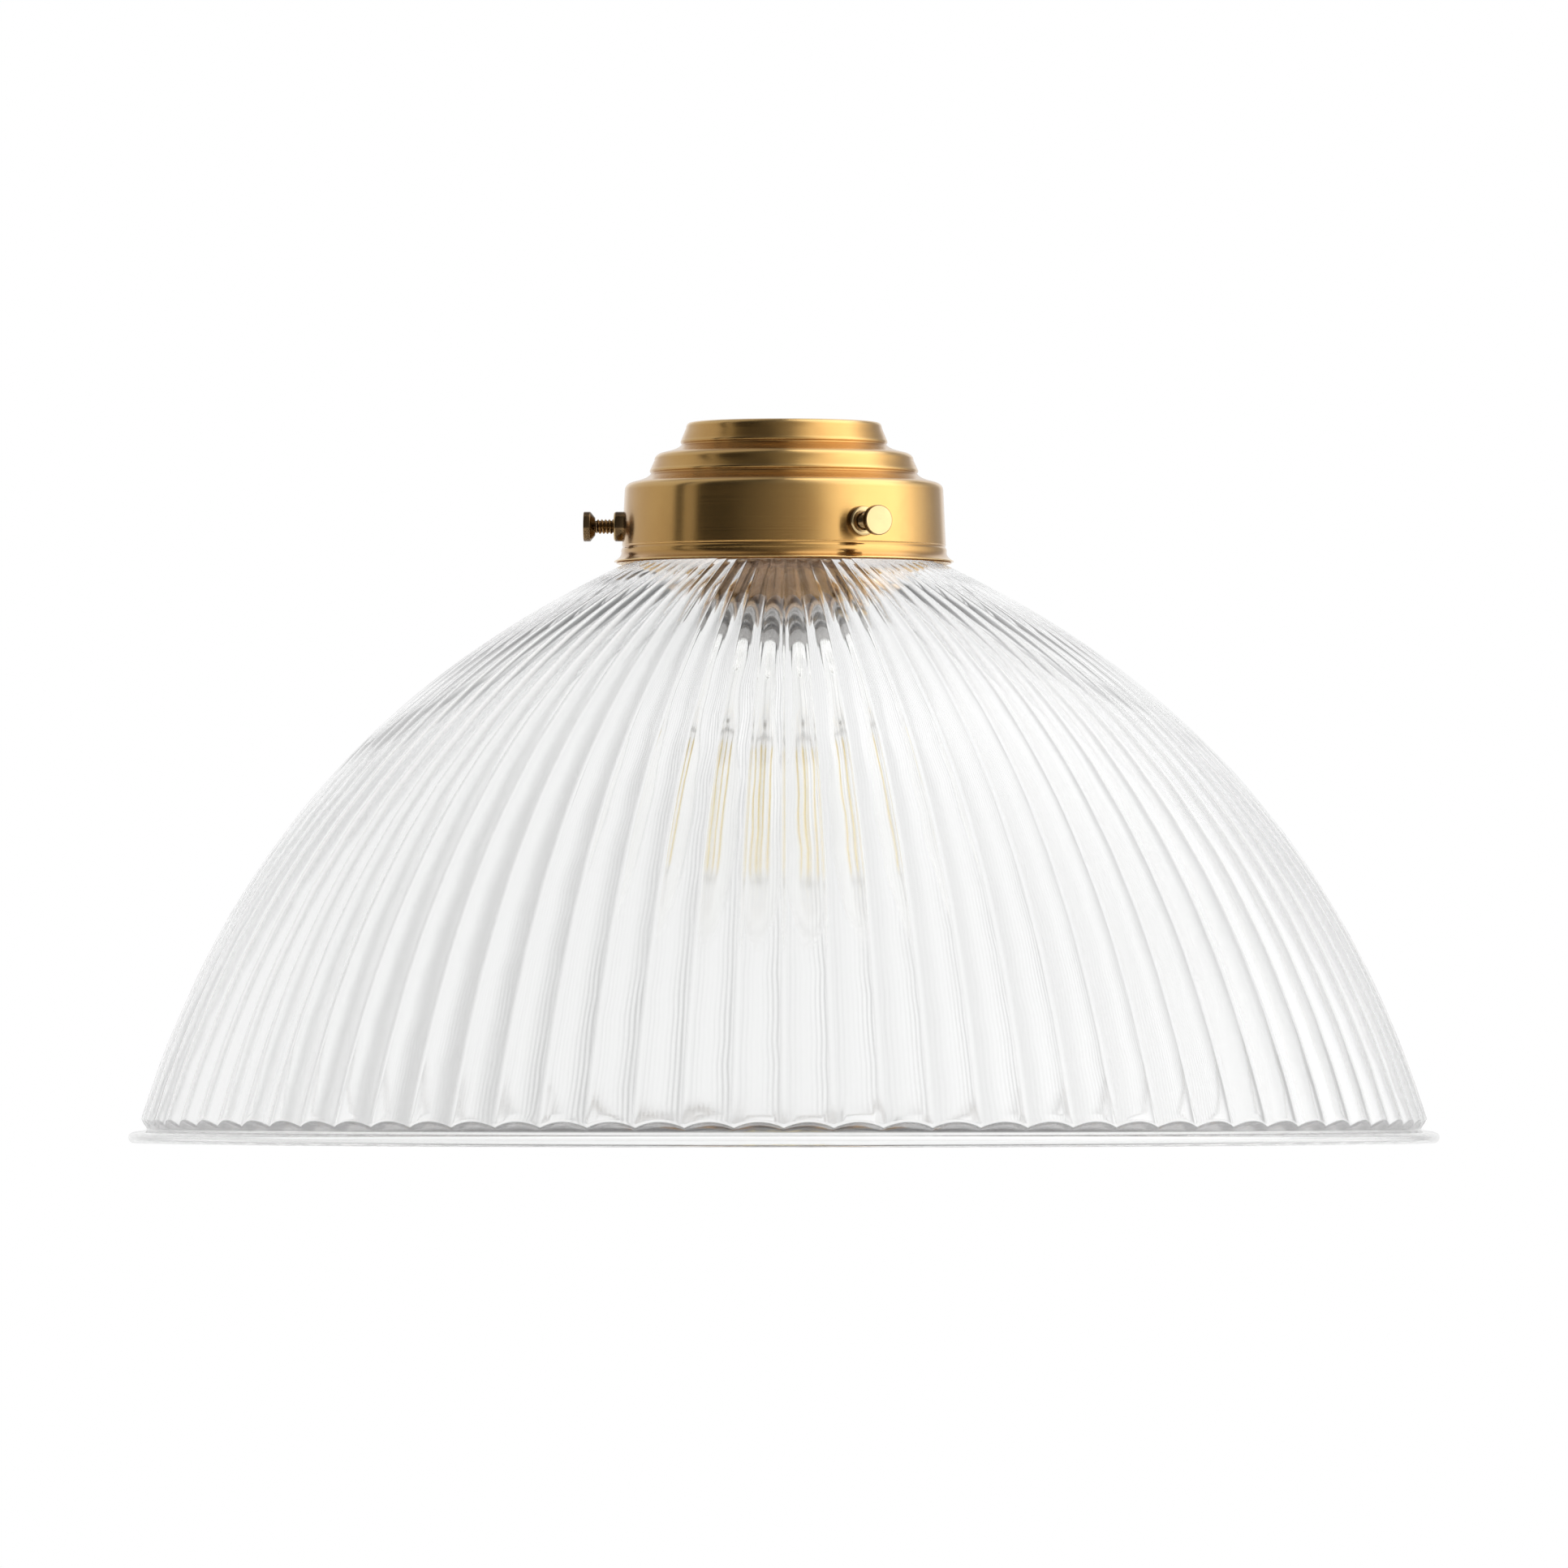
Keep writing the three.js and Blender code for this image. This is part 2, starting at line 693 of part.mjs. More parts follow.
// Lampholder
function lampholderCap() {
  const boreRadius = bushTubeRadius + gap;
  const collarRadius = boreRadius + collarWall;
  const roundFoot = holderShoulder + capShoulderRound;
  const innerRound = capShoulderRound - holderWall;
  const line = new THREE.Path();
  line.moveTo(boreRadius, -holderTop);
  line.lineTo(collarRadius - collarRound, -holderTop);
  line.lineTo(collarRadius, -(holderTop + collarRound));
  line.lineTo(collarRadius, -(holderShoulder - collarRound));
  line.lineTo(collarRadius + collarRound, -holderShoulder);
  line.lineTo(holderRadius - capShoulderRound, -holderShoulder);
  line.quadraticCurveTo(holderRadius, -holderShoulder, holderRadius, -roundFoot);
  line.lineTo(holderRadius, -holderSplit);
  line.lineTo(holderInnerRadius, -holderSplit);
  line.lineTo(holderInnerRadius, -(capInnerTop + innerRound));
  line.quadraticCurveTo(holderInnerRadius, -capInnerTop, holderInnerRadius - innerRound, -capInnerTop);
  line.lineTo(boreRadius, -capInnerTop);
  return part('lampholder_cap', revolve(line.getPoints(curveSteps), holderColumns), darkBrassMaterial());
}

function lampholderSkirt() {
  const outline = [
    point(spigotInnerRadius, spigotTop),
    point(spigotRadius, spigotTop),
    point(spigotRadius, skirtTop),
    point(holderRadius, skirtTop),
    point(holderRadius, skirtFoot - skirtFlareHeight),
    point(holderRadius + skirtBead, skirtFoot - skirtBeadHeight),
    point(holderRadius + skirtBead, skirtFoot - skirtBead),
    point(holderRadius, skirtFoot),
    point(spigotInnerRadius, skirtFoot),
  ];
  return part('lampholder_skirt', revolve(outline, holderColumns), darkBrassMaterial());
}

function lampholderCore() {
  const outline = [
    point(0, coreTop),
    point(spigotRadius, coreTop),
    point(spigotRadius, coreFlangeFoot),
    point(coreBodyRadius, coreFlangeFoot),
    point(coreBodyRadius, sleeveFoot),
    point(sleeveInnerRadius, sleeveFoot),
    point(sleeveInnerRadius, coreInnerTop),
    point(0, coreInnerTop),
  ];
  let solid = toSolid(revolve(outline, holderColumns));
  [-terminalOffset, terminalOffset].forEach((x) => {
    const width = terminalWidth + 2 * gap;
    const length = terminalDepth + 2 * gap;
    const pocket = block(width, length, coreTop - overrun, coreTop + pocketDepth);
    solid = solid.subtract(toSolid(pocket.translate(x, 0, 0)));
  });
  return part('lampholder_core', toGeometry(solid), porcelainMaterial());
}

function socketShell() {
  const outerRadius = shellCrestRadius + shellWall;
  const rings = [
    plainRing(threadColumns, shellHoleRadius, shellTop),
    plainRing(threadColumns, outerRadius - threadDepth, shellTop),
    ...threadRings(outerRadius, shellTop + shellWall, sleeveFoot),
    ...threadRings(shellCrestRadius, sleeveFoot, shellTop + shellWall),
    plainRing(threadColumns, shellHoleRadius, shellTop + shellWall),
  ];
  return part('socket_shell', loft(rings), brassMaterial());
}

function centreContact() {
  const shape = new THREE.Shape();
  const bendStart = -leafBendShare * leafHalfLength;
  const bendEnd = leafBendShare * leafHalfLength;
  const topEnd = leafTop + leafDrop;
  shape.moveTo(-leafHalfLength, -leafTop);
  shape.lineTo(-leafHalfLength, -(leafTop + leafThickness));
  shape.lineTo(bendStart, -(leafTop + leafThickness));
  shape.lineTo(bendEnd, -(topEnd + leafThickness));
  shape.lineTo(leafHalfLength, -(topEnd + leafThickness));
  shape.lineTo(leafHalfLength, -topEnd);
  shape.lineTo(bendEnd, -topEnd);
  shape.lineTo(bendStart, -leafTop);
  shape.closePath();
  const leaf = new THREE.ExtrudeGeometry(shape, { depth: leafWidth, bevelEnabled: false });
  leaf.rotateX(Math.PI / 2);
  leaf.translate(0, leafWidth / 2, 0);
  return part('centre_contact', leaf, brassMaterial());
}

// Terminals
// Each is a brass block with a wire hole across it and a clamp screw from one end.
// The screw enters from above where side is 1 and from below where it is -1.
const pocketTerminalTop = coreTop + pocketDepth - gap - terminalHeight;
const terminals = [
  { name: 'live', x: terminalOffset, y: 0, top: pocketTerminalTop, height: terminalHeight, side: 1 },
  { name: 'neutral', x: -terminalOffset, y: 0, top: pocketTerminalTop, height: terminalHeight, side: 1 },
  { name: 'earth', x: 0, y: earthOffset, top: capInnerTop + gap, height: earthHeight, side: -1 },
];

function terminalBlock({ name, x, y, top, height, side }) {
  const foot = top + height;
  const screwFace = side > 0 ? top : foot;
  const wireDepth = screwFace + side * height * wireHoleShare;
  const outside = screwFace - side * overrun;
  const wireHole = uprightBar(terminalWireRadius, -terminalWidth, terminalWidth, wireColumns);
  wireHole.rotateX(Math.PI / 2);
  wireHole.translate(0, 0, -wireDepth);
  const screwHole = uprightBar(
    terminalScrewRadius + gap,
    Math.min(outside, wireDepth),
    Math.max(outside, wireDepth),
    smallColumns,
  );
  const solid = toSolid(block(terminalWidth, terminalDepth, top, foot))
    .subtract(toSolid(wireHole))
    .subtract(toSolid(screwHole));
  const terminal = part(`${name}_terminal`, toGeometry(solid), brassMaterial());
  terminal.position.set(x, y, 0);
  return terminal;
}

function terminalScrew({ name, x, y, top, height, side }) {
  const face = side > 0 ? top : top + height;
  const underHead = face - side * gap;
  const overHead = underHead - side * terminalScrewHeadHeight;
  const shankFoot = face + side * (height * wireHoleShare - terminalWireRadius);
  const outline = [
    point(0, overHead),
    point(terminalScrewHeadRadius, overHead),
    point(terminalScrewHeadRadius, underHead),
    point(terminalScrewRadius, underHead),
    point(terminalScrewRadius, shankFoot),
    point(0, shankFoot),
  ];
  const slotFoot = overHead + side * screwSlotDepth;
  const outside = overHead - side * overrun;
  const slot = block(
    screwSlotWidth,
    2 * terminalScrewHeadRadius + overrun,
    Math.min(outside, slotFoot),
    Math.max(outside, slotFoot),
  );
  const solid = toSolid(revolve(outline, smallColumns)).subtract(toSolid(slot));
  const screw = part(`${name}_screw`, toGeometry(solid), nickelMaterial());
  screw.position.set(x, y, 0);
  return screw;
}

// Bulb
function bulbCap() {
  const collarRadius = capThreadRadius + bulbCollarOut;
  const rootRadius = capThreadRadius - threadDepth;
  const rings = [
    plainRing(threadColumns, bulbShellInner, bulbShellTop),
    plainRing(threadColumns, rootRadius, bulbShellTop),
    ...threadRings(capThreadRadius, bulbShellTop + bulbShellWall, bulbThreadFoot - bulbShellWall),
    plainRing(threadColumns, rootRadius, bulbThreadFoot),
    plainRing(threadColumns, collarRadius, bulbThreadFoot + bulbShellWall),
    plainRing(threadColumns, collarRadius, bulbCapFoot),
    plainRing(threadColumns, bulbShellInner, bulbCapFoot),
  ];
  return part('bulb_cap', loft(rings), nickelMaterial());
}

function bulbInsulator() {
  const holeRadius = bulbPinRadius + gap;
  const outline = [
    point(holeRadius, insulatorTop),
    point(holeRadius + insulatorTopWidth, insulatorTop),
    point(insulatorRadius, bulbShellTop),
    point(insulatorRadius, bulbShellTop + insulatorPlugHeight),
    point(holeRadius, bulbShellTop + insulatorPlugHeight),
  ];
  return part('bulb_insulator', revolve(outline, threadColumns), blackGlassMaterial());
}

function bulbContact() {
  const outline = [
    point(0, contactTop),
    point(bulbContactRadius - bulbContactHeight, contactTop),
    point(bulbContactRadius, contactTop + bulbContactHeight),
    point(bulbPinRadius, contactTop + bulbContactHeight),
    point(bulbPinRadius, contactTop + bulbContactHeight + bulbPinLength),
    point(0, contactTop + bulbContactHeight + bulbPinLength),
  ];
  return part('bulb_contact', revolve(outline, smallColumns), nickelMaterial());
}

// The glass outline from the neck's edge down to the tip, with every radius less by a distance.
function envelopeLine(less, steps) {
  const neckFoot = bulbCapFoot + bulbNeckStraight;
  const drop = bulbCentre - neckFoot;
  const radius = bulbRadius - less;
  const line = new THREE.Path();
  line.moveTo(bulbNeckRadius - less, -bulbNeckTop);
  line.lineTo(bulbNeckRadius - less, -neckFoot);
  line.bezierCurveTo(
    bulbNeckRadius - less,
    -(neckFoot + bulbNeckReachShare * drop),
    radius,
    -(bulbCentre - bulbGlobeReachShare * drop),
    radius,
    -bulbCentre,
  );
  const points = line.getPoints(steps);
  for (let i = 1; i < steps; i += 1) {
    const angle = Math.PI / 2 * i / steps;
    points.push(point(radius * Math.cos(angle), bulbCentre + radius * Math.sin(angle)));
  }
  points.push(point(0, bulbCentre + radius));
  return points;
}

function bulbEnvelope() {
  const steps = 2 * curveSteps;
  const outline = [...envelopeLine(0, steps), ...envelopeLine(bulbGlassWall, steps).reverse()];
  return part('bulb_envelope', revolve(outline, bulbColumns), glassMaterial());
}

function bulbStem() {
  const flareRadius = bulbNeckRadius - bulbGlassWall - gap;
  const line = new THREE.Path();
  line.moveTo(flareRadius, -(bulbNeckTop + stemWall));
  line.quadraticCurveTo(stemRadius, -(bulbNeckTop + stemWall), stemRadius, -flareFoot);
  line.lineTo(stemRadius, -(stemFoot - stemRadius + stemRodRadius));
  line.lineTo(stemRodRadius, -stemFoot);
  line.lineTo(stemRodRadius, -lowerFrameFoot);
  line.lineTo(0, -lowerFrameFoot);
  line.lineTo(0, -(flareFoot + stemRadius));
  line.lineTo(stemRadius - stemWall, -flareFoot);
  line.quadraticCurveTo(stemRadius - stemWall, -bulbNeckTop, flareRadius, -bulbNeckTop);
  return part('bulb_stem', revolve(line.getPoints(curveSteps), smallColumns), glassMaterial());
}

function filamentAngle(index) {
  return toRadians(filamentFirstAngle) + 2 * Math.PI * index / filamentCount;
}

// A wire frame: a ring on the glass rod and one arm to each filament.
function filamentFrame(name, top, armDepth) {
  const foot = top + frameRingHeight;
  const holeRadius = stemRodRadius + gap;
  const ringRadius = holeRadius + frameRingWidth;
  const outline = [
    point(holeRadius, top),
    point(ringRadius, top),
    point(ringRadius, foot),
    point(holeRadius, foot),
  ];
  const armStart = (holeRadius + ringRadius) / 2;
  const armEnd = filamentCircle + filamentRadius;
  let solid = toSolid(revolve(outline, smallColumns));
  for (let i = 0; i < filamentCount; i += 1) {
    const arm = uprightBar(frameWireRadius, -armEnd, -armStart, wireColumns);
    arm.rotateX(Math.PI / 2);
    arm.translate(0, 0, -armDepth);
    solid = solid.add(toSolid(arm.rotateZ(filamentAngle(i))));
  }
  return part(name, toGeometry(solid), nickelMaterial());
}

function filament(index) {
  const outline = [
    point(0, filamentTop),
    point(filamentTabRadius, filamentTop),
    point(filamentTabRadius, filamentTop + filamentTabLength),
    point(filamentRadius, filamentTop + filamentTabLength),
    point(filamentRadius, filamentFoot - filamentTabLength),
    point(filamentTabRadius, filamentFoot - filamentTabLength),
    point(filamentTabRadius, filamentFoot),
    point(0, filamentFoot),
  ];
  const rod = part(`filament_${index + 1}`, revolve(outline, wireColumns), phosphorMaterial());
  const angle = filamentAngle(index);
  rod.position.set(filamentCircle * Math.sin(angle), -filamentCircle * Math.cos(angle), 0);
  return rod;
}

// Assembly
function galleryGroup() {
  const group = new THREE.Group();
  group.add(galleryBody(), suspensionBush(), bushLocknut());
  for (let i = 0; i < screwCount; i += 1) {
    group.add(screwBoss(i), thumbScrew(i), screwTip(i));
  }
  return group;
}

function lampholderGroup() {
  const group = new THREE.Group();
  group.add(lampholderCap(), lampholderSkirt(), lampholderCore(), socketShell(), centreContact());
  terminals.forEach((terminal) => group.add(terminalBlock(terminal), terminalScrew(terminal)));
  return group;
}

function bulbGroup() {
  const group = new THREE.Group();
  group.add(bulbCap(), bulbInsulator(), bulbContact(), bulbEnvelope(), bulbStem());
  group.add(filamentFrame('filament_frame_upper', upperFrameTop, upperFrameFoot - frameWireRadius));
  group.add(filamentFrame('filament_frame_lower', lowerFrameTop, lowerFrameTop + frameWireRadius));
  for (let i = 0; i < filamentCount; i += 1) {
    group.add(filament(i));
  }
  return group;
}

const pendant = new THREE.Group();
pendant.add(glassShade(), galleryGroup(), lampholderGroup(), bulbGroup());
export default pendant;
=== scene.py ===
import math
import bpy
import numpy as np
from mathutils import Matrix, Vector


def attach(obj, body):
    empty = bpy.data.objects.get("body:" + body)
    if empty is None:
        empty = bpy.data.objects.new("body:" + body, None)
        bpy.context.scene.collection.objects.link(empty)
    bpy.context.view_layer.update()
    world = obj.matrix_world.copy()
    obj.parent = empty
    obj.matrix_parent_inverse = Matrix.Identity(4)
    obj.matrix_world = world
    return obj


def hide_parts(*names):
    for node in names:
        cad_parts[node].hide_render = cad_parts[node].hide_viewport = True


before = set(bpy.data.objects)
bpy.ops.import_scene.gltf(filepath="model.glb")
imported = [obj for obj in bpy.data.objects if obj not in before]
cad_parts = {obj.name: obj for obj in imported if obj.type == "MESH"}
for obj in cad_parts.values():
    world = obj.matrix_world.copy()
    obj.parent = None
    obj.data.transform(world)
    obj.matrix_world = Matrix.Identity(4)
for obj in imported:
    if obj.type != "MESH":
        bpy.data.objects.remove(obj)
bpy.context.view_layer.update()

# Sizes below are in millimetres unless a note says otherwise. Depths run down from the gallery's top
# face. Every mesh goes into metres at the very end, in newPiece.
mm = 0.001

# Camera
view = {
    "lens": 326.0,
    "distance": 3.795,  # straight in front, in metres as the two heights are
    "height": -0.167,
    "aimHeight": -0.0967,
}


def setCamera():
    camera = bpy.data.objects.new("camera", bpy.data.cameras.new("camera"))
    bpy.context.scene.collection.objects.link(camera)
    camera.data.lens = view["lens"]
    camera.location = (0, -view["distance"], view["height"])
    towards = Vector((0, view["distance"], view["aimHeight"] - view["height"]))
    camera.rotation_euler = towards.to_track_quat("-Z", "Y").to_euler()
    bpy.context.scene.camera = camera


setCamera()
print("camera set")


# Outlines and skins
def drawnLine(start, strokes, steps=8):
    # Joins strokes into one line of points. A stroke of one point is straight, one of two points is a
    # quadratic curve and one of three a cubic curve, each from where the last stroke ended.
    t = np.linspace(0, 1, steps + 1)[1:, None]
    parts = [np.array([start], float)]
    for stroke in strokes:
        here, there = parts[-1][-1], np.array(stroke[-1], float)
        handles = np.array(stroke[:-1], float)
        if len(stroke) == 1:
            parts.append(there[None])
        elif len(stroke) == 2:
            parts.append((1 - t) ** 2 * here + 2 * t * (1 - t) * handles[0] + t ** 2 * there)
        else:
            near, far = 3 * t * (1 - t) ** 2 * handles[0], 3 * t ** 2 * (1 - t) * handles[1]
            parts.append((1 - t) ** 3 * here + near + far + t ** 3 * there)
    return np.concatenate(parts)


def roundedLine(corners, closed=True, steps=4):
    # Each corner is (radius, depth, rounding): it becomes a short curve that leaves its two sides that
    # rounding away from the corner, but never past 0.48 of a side. A rounding of 0 keeps it sharp.
    corners = np.array(corners, float)
    point, rounding = corners[:, :2], corners[:, 2:]
    before, after = np.roll(point, 1, 0) - point, np.roll(point, -1, 0) - point
    longBefore = np.linalg.norm(before, axis=1, keepdims=True)
    longAfter = np.linalg.norm(after, axis=1, keepdims=True)
    if not closed:
        rounding[[0, -1]] = 0
    cut = np.minimum(rounding, 0.48 * np.minimum(longBefore, longAfter))
    start = point + before / np.maximum(longBefore, 1e-9) * cut
    end = point + after / np.maximum(longAfter, 1e-9) * cut
    t = np.linspace(0, 1, steps + 1)[None, :, None]
    curve = (1 - t) ** 2 * start[:, None] + 2 * t * (1 - t) * point[:, None] + t ** 2 * end[:, None]
    line = curve.reshape(-1, 2)
    apart = np.linalg.norm(line - np.roll(line, 1, 0), axis=1) > 1e-6
    apart[0] |= not closed
    return line[apart]


def splitLong(line, longest, closed=True):
    # Puts points into the straight runs so that none is longer than longest.
    end = np.roll(line, -1, 0) if closed else line[1:]
    start = line if closed else line[:-1]
    count = np.maximum(np.ceil(np.linalg.norm(end - start, axis=1) / longest), 1).astype(int)
    owner = np.repeat(np.arange(len(count)), count)
    step = np.arange(len(owner)) - np.repeat(np.cumsum(count) - count, count)
    share = (step / count[owner])[:, None]
    points = start[owner] * (1 - share) + end[owner] * share
    return points if closed else np.concatenate([points, line[-1:]])


def bendOf(line, reach, closed=True):
    # How far the line turns near each point, from -1 in a hollow to 1 on an edge: the turn at every
    # point, weighted by a bell curve of its distance along the line.
    side = np.roll(line, -1, 0) - line
    heading = np.arctan2(side[:, 1], side[:, 0])
    turn = (heading - np.roll(heading, 1) + np.pi) % (2 * np.pi) - np.pi
    if not closed:
        turn[[0, -1]] = 0
    place = np.cumsum(np.linalg.norm(line - np.roll(line, 1, 0), axis=1))
    weight = np.exp(-((place[:, None] - place[None]) / reach) ** 2)
    area = np.sum(line[:, 0] * np.roll(line[:, 1], -1) - np.roll(line[:, 0], -1) * line[:, 1])
    return np.tanh(1.3 * weight @ turn * np.sign(area))


def offsetLine(line, distance):
    # Moves every point of an open line to its left by a distance, across the mean of its two sides.
    before = np.diff(line, axis=0, prepend=line[:1])
    after = np.diff(line, axis=0, append=line[-1:])
    along = before / np.maximum(np.linalg.norm(before, axis=1, keepdims=True), 1e-9)
    along += after / np.maximum(np.linalg.norm(after, axis=1, keepdims=True), 1e-9)
    along /= np.linalg.norm(along, axis=1, keepdims=True)
    return line + np.stack([-along[:, 1], along[:, 0]], axis=1) * distance


def turnedGrid(line, columns, radius=None):
    # Turns a line of (radius, place) about the third axis: x = r cos a, y = r sin a, z = place.
    # radius, where given, is a table of radii by row and column that takes the line's place.
    angle = 2 * np.pi * np.arange(columns) / columns
    r = line[:, :1] + 0 * angle if radius is None else radius
    place = np.broadcast_to(line[:, 1:], r.shape)
    return np.stack([r * np.cos(angle), r * np.sin(angle), place], axis=-1)


def hung(grid):
    # Depths become heights below the origin.
    return grid * np.array([1, 1, -1])


def newPiece(name, grid, finish, closed=True, sharpAngle=32, marks=None):
    # Skins a grid of corners, rows by columns: every row runs round and joins the next one, and the
    # last joins the first where the outline is closed. A row drawn into one point becomes one corner.
    rows, columns = grid.shape[:2]
    index = np.arange(rows * columns).reshape(rows, columns)
    pole = np.ptp(grid, axis=1).max(axis=1) < 1e-6
    index[pole] = index[pole, :1]
    above = index if closed else index[:-1]
    below = np.roll(index, -1, 0) if closed else index[1:]
    sides = [above, np.roll(above, -1, 1), np.roll(below, -1, 1), below]
    used, quads = np.unique(np.stack(sides, axis=-1).reshape(-1, 4), return_inverse=True)
    quads = quads.reshape(-1, 4)
    corners = grid.reshape(-1, 3)[used] * mm
    a, b, c, d = (corners[quads[:, i]] for i in range(4))
    volume = np.sum(a * np.cross(b, c)) + np.sum(a * np.cross(c, d))
    if volume < 0:
        quads = quads[:, ::-1]
    top, foot = quads[:, 0] == quads[:, 1], quads[:, 2] == quads[:, 3]
    faces = quads[~(top | foot)].tolist() + quads[top & ~foot][:, 1:].tolist()
    faces += quads[foot & ~top][:, :3].tolist()
    mesh = bpy.data.meshes.new(name)
    mesh.from_pydata(corners, [], faces)
    for mark, values in (marks or {}).items():
        spread = np.broadcast_to(values, (rows, columns)).reshape(-1)[used]
        mesh.attributes.new(mark, "FLOAT", "POINT").data.foreach_set("value", spread.astype(np.float32))
    mesh.polygons.foreach_set("use_smooth", np.ones(len(mesh.polygons), bool))
    mesh.set_sharp_from_angle(angle=math.radians(sharpAngle))
    mesh.materials.append(finishes[finish])
    mesh.validate()
    piece = bpy.data.objects.new(name, mesh)
    bpy.context.scene.collection.objects.link(piece)
    return piece


def roundNormals(piece, grid):
    # Gives every corner the true direction of its surface, from the slopes along its row and along its
    # column, so that glass bends light smoothly across the faces. Both directions close on themselves.
    wrapped = np.concatenate([grid[-2:], grid, grid[:2]])
    step = np.linalg.norm(np.diff(wrapped, axis=0), axis=2).mean(axis=1)
    place = np.concatenate([[0], np.cumsum(np.maximum(step, 1e-4))])
    down = np.gradient(wrapped, place, axis=0)[2:-2]
    across = np.roll(grid, -1, 1) - np.roll(grid, 1, 1)
    normal = np.cross(across, down)
    normal /= np.maximum(np.linalg.norm(normal, axis=2, keepdims=True), 1e-12)
    normal = normal.reshape(-1, 3)
    now = np.zeros(len(normal) * 3)
    piece.data.vertices.foreach_get("normal", now)
    if np.sum(normal * now.reshape(-1, 3)) < 0:
        normal = -normal
    piece.data.normals_split_custom_set_from_vertices(normal)


def turnedPiece(name, line, columns, finish, closed=True, reach=0.8, longest=1.5):
    line = splitLong(line, longest, closed)
    marks = {"bend": bendOf(line, reach, closed)[:, None]}
    return newPiece(name, hung(turnedGrid(line, columns)), finish, closed, marks=marks)


def settle(piece, body, slot, *nodes):
    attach(piece, body)
    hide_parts(*nodes)


# Finishes
def setInputs(tree, node, inputs):
    # Each value is a plain one or the output of another node.
    for key, value in inputs.items():
        if isinstance(value, bpy.types.NodeSocket):
            tree.links.new(value, node.inputs[key])
        else:
            node.inputs[key].default_value = value
    return node


def addNode(tree, kind, inputs=None, **settings):
    node = tree.nodes.new(kind)
    for key, value in settings.items():
        setattr(node, key, value)
    return setInputs(tree, node, inputs or {})


def newFinish(name):
    finish = bpy.data.materials.new(name)
    finish.use_nodes = True
    tree = finish.node_tree
    return finish, tree, tree.nodes["Principled BSDF"]


def objectPlace(tree):
    return addNode(tree, "ShaderNodeTexCoord").outputs["Object"]


def noise(tree, place, scale, detail=3.0, roughness=0.55):
    inputs = {"Vector": place, "Scale": scale, "Detail": detail, "Roughness": roughness}
    return addNode(tree, "ShaderNodeTexNoise", inputs).outputs["Fac"]


def markOf(tree, name):
    return addNode(tree, "ShaderNodeAttribute", attribute_name=name).outputs["Fac"]


def spreadTo(tree, value, low, high, fromLow=0.3, fromHigh=0.7):
    inputs = {"Value": value, "From Min": fromLow, "From Max": fromHigh, "To Min": low, "To Max": high}
    return addNode(tree, "ShaderNodeMapRange", inputs).outputs["Result"]


def mixColour(tree, share, first, second):
    first, second = (
        value if isinstance(value, bpy.types.NodeSocket) else (*value, 1) for value in (first, second))
    return addNode(tree, "ShaderNodeMix", {0: share, 6: first, 7: second}, data_type="RGBA").outputs[2]


def mixShaders(tree, share, first, second):
    return addNode(tree, "ShaderNodeMixShader", {0: share, 1: first, 2: second}).outputs[0]


def combine(tree, operation, first, second):
    return addNode(tree, "ShaderNodeMath", {0: first, 1: second}, operation=operation).outputs[0]


def bumpTo(tree, shader, height, strength, distance):
    inputs = {"Height": height, "Strength": strength, "Distance": distance}
    bump = addNode(tree, "ShaderNodeBump", inputs)
    tree.links.new(bump.outputs["Normal"], shader.inputs["Normal"])


shadowTint = (0.93, 0.93, 0.93, 1)  # what each skin of glass leaves of a lamp's light
softening = -0.07, -0.115  # the heights in metres between which the glass goes from clear to softer


def clearGlass(name, look):
    # Clear glass: bump = slow waves from the mould; roughness = a fire-polished skin that gets softer
    # further down, times faint smears; colour = clear, darkened by the groove mark as painted shade in the
    # groove above the rim. Rays to the lamp go straight through, so that its light gets inside.
    finish, tree, shader = newFinish(name)
    place = objectPlace(tree)
    smears = spreadTo(tree, noise(tree, place, look["smearScale"], 4), 1, 1.4, 0.4, 0.75)
    height = addNode(tree, "ShaderNodeSeparateXYZ", {0: place}).outputs["Z"]
    skin = spreadTo(tree, height, *look["skin"], *softening)
    setInputs(tree, shader, {
        "Base Color": (*look["colour"], 1), "Transmission Weight": 1, "IOR": look["bending"],
        "Roughness": combine(tree, "MULTIPLY", smears, skin)})
    # Painted shade: the groove mark darkens the glass colour in the groove above the rim.
    if "paintedShadeColour" in look:
        colour = mixColour(tree, markOf(tree, "groove"), look["colour"], look["paintedShadeColour"])
        tree.links.new(colour, shader.inputs["Base Color"])
    bumpTo(tree, shader, noise(tree, place, look["waveScale"], 1), look["waveStrength"], look["waveHeight"])
    clear = addNode(tree, "ShaderNodeBsdfTransparent", {"Color": shadowTint})
    ray = addNode(tree, "ShaderNodeLightPath").outputs["Is Shadow Ray"]
    mixed = mixShaders(tree, ray, shader.outputs[0], clear.outputs[0])
    tree.links.new(mixed, tree.nodes["Material Output"].inputs["Surface"])
    return finish


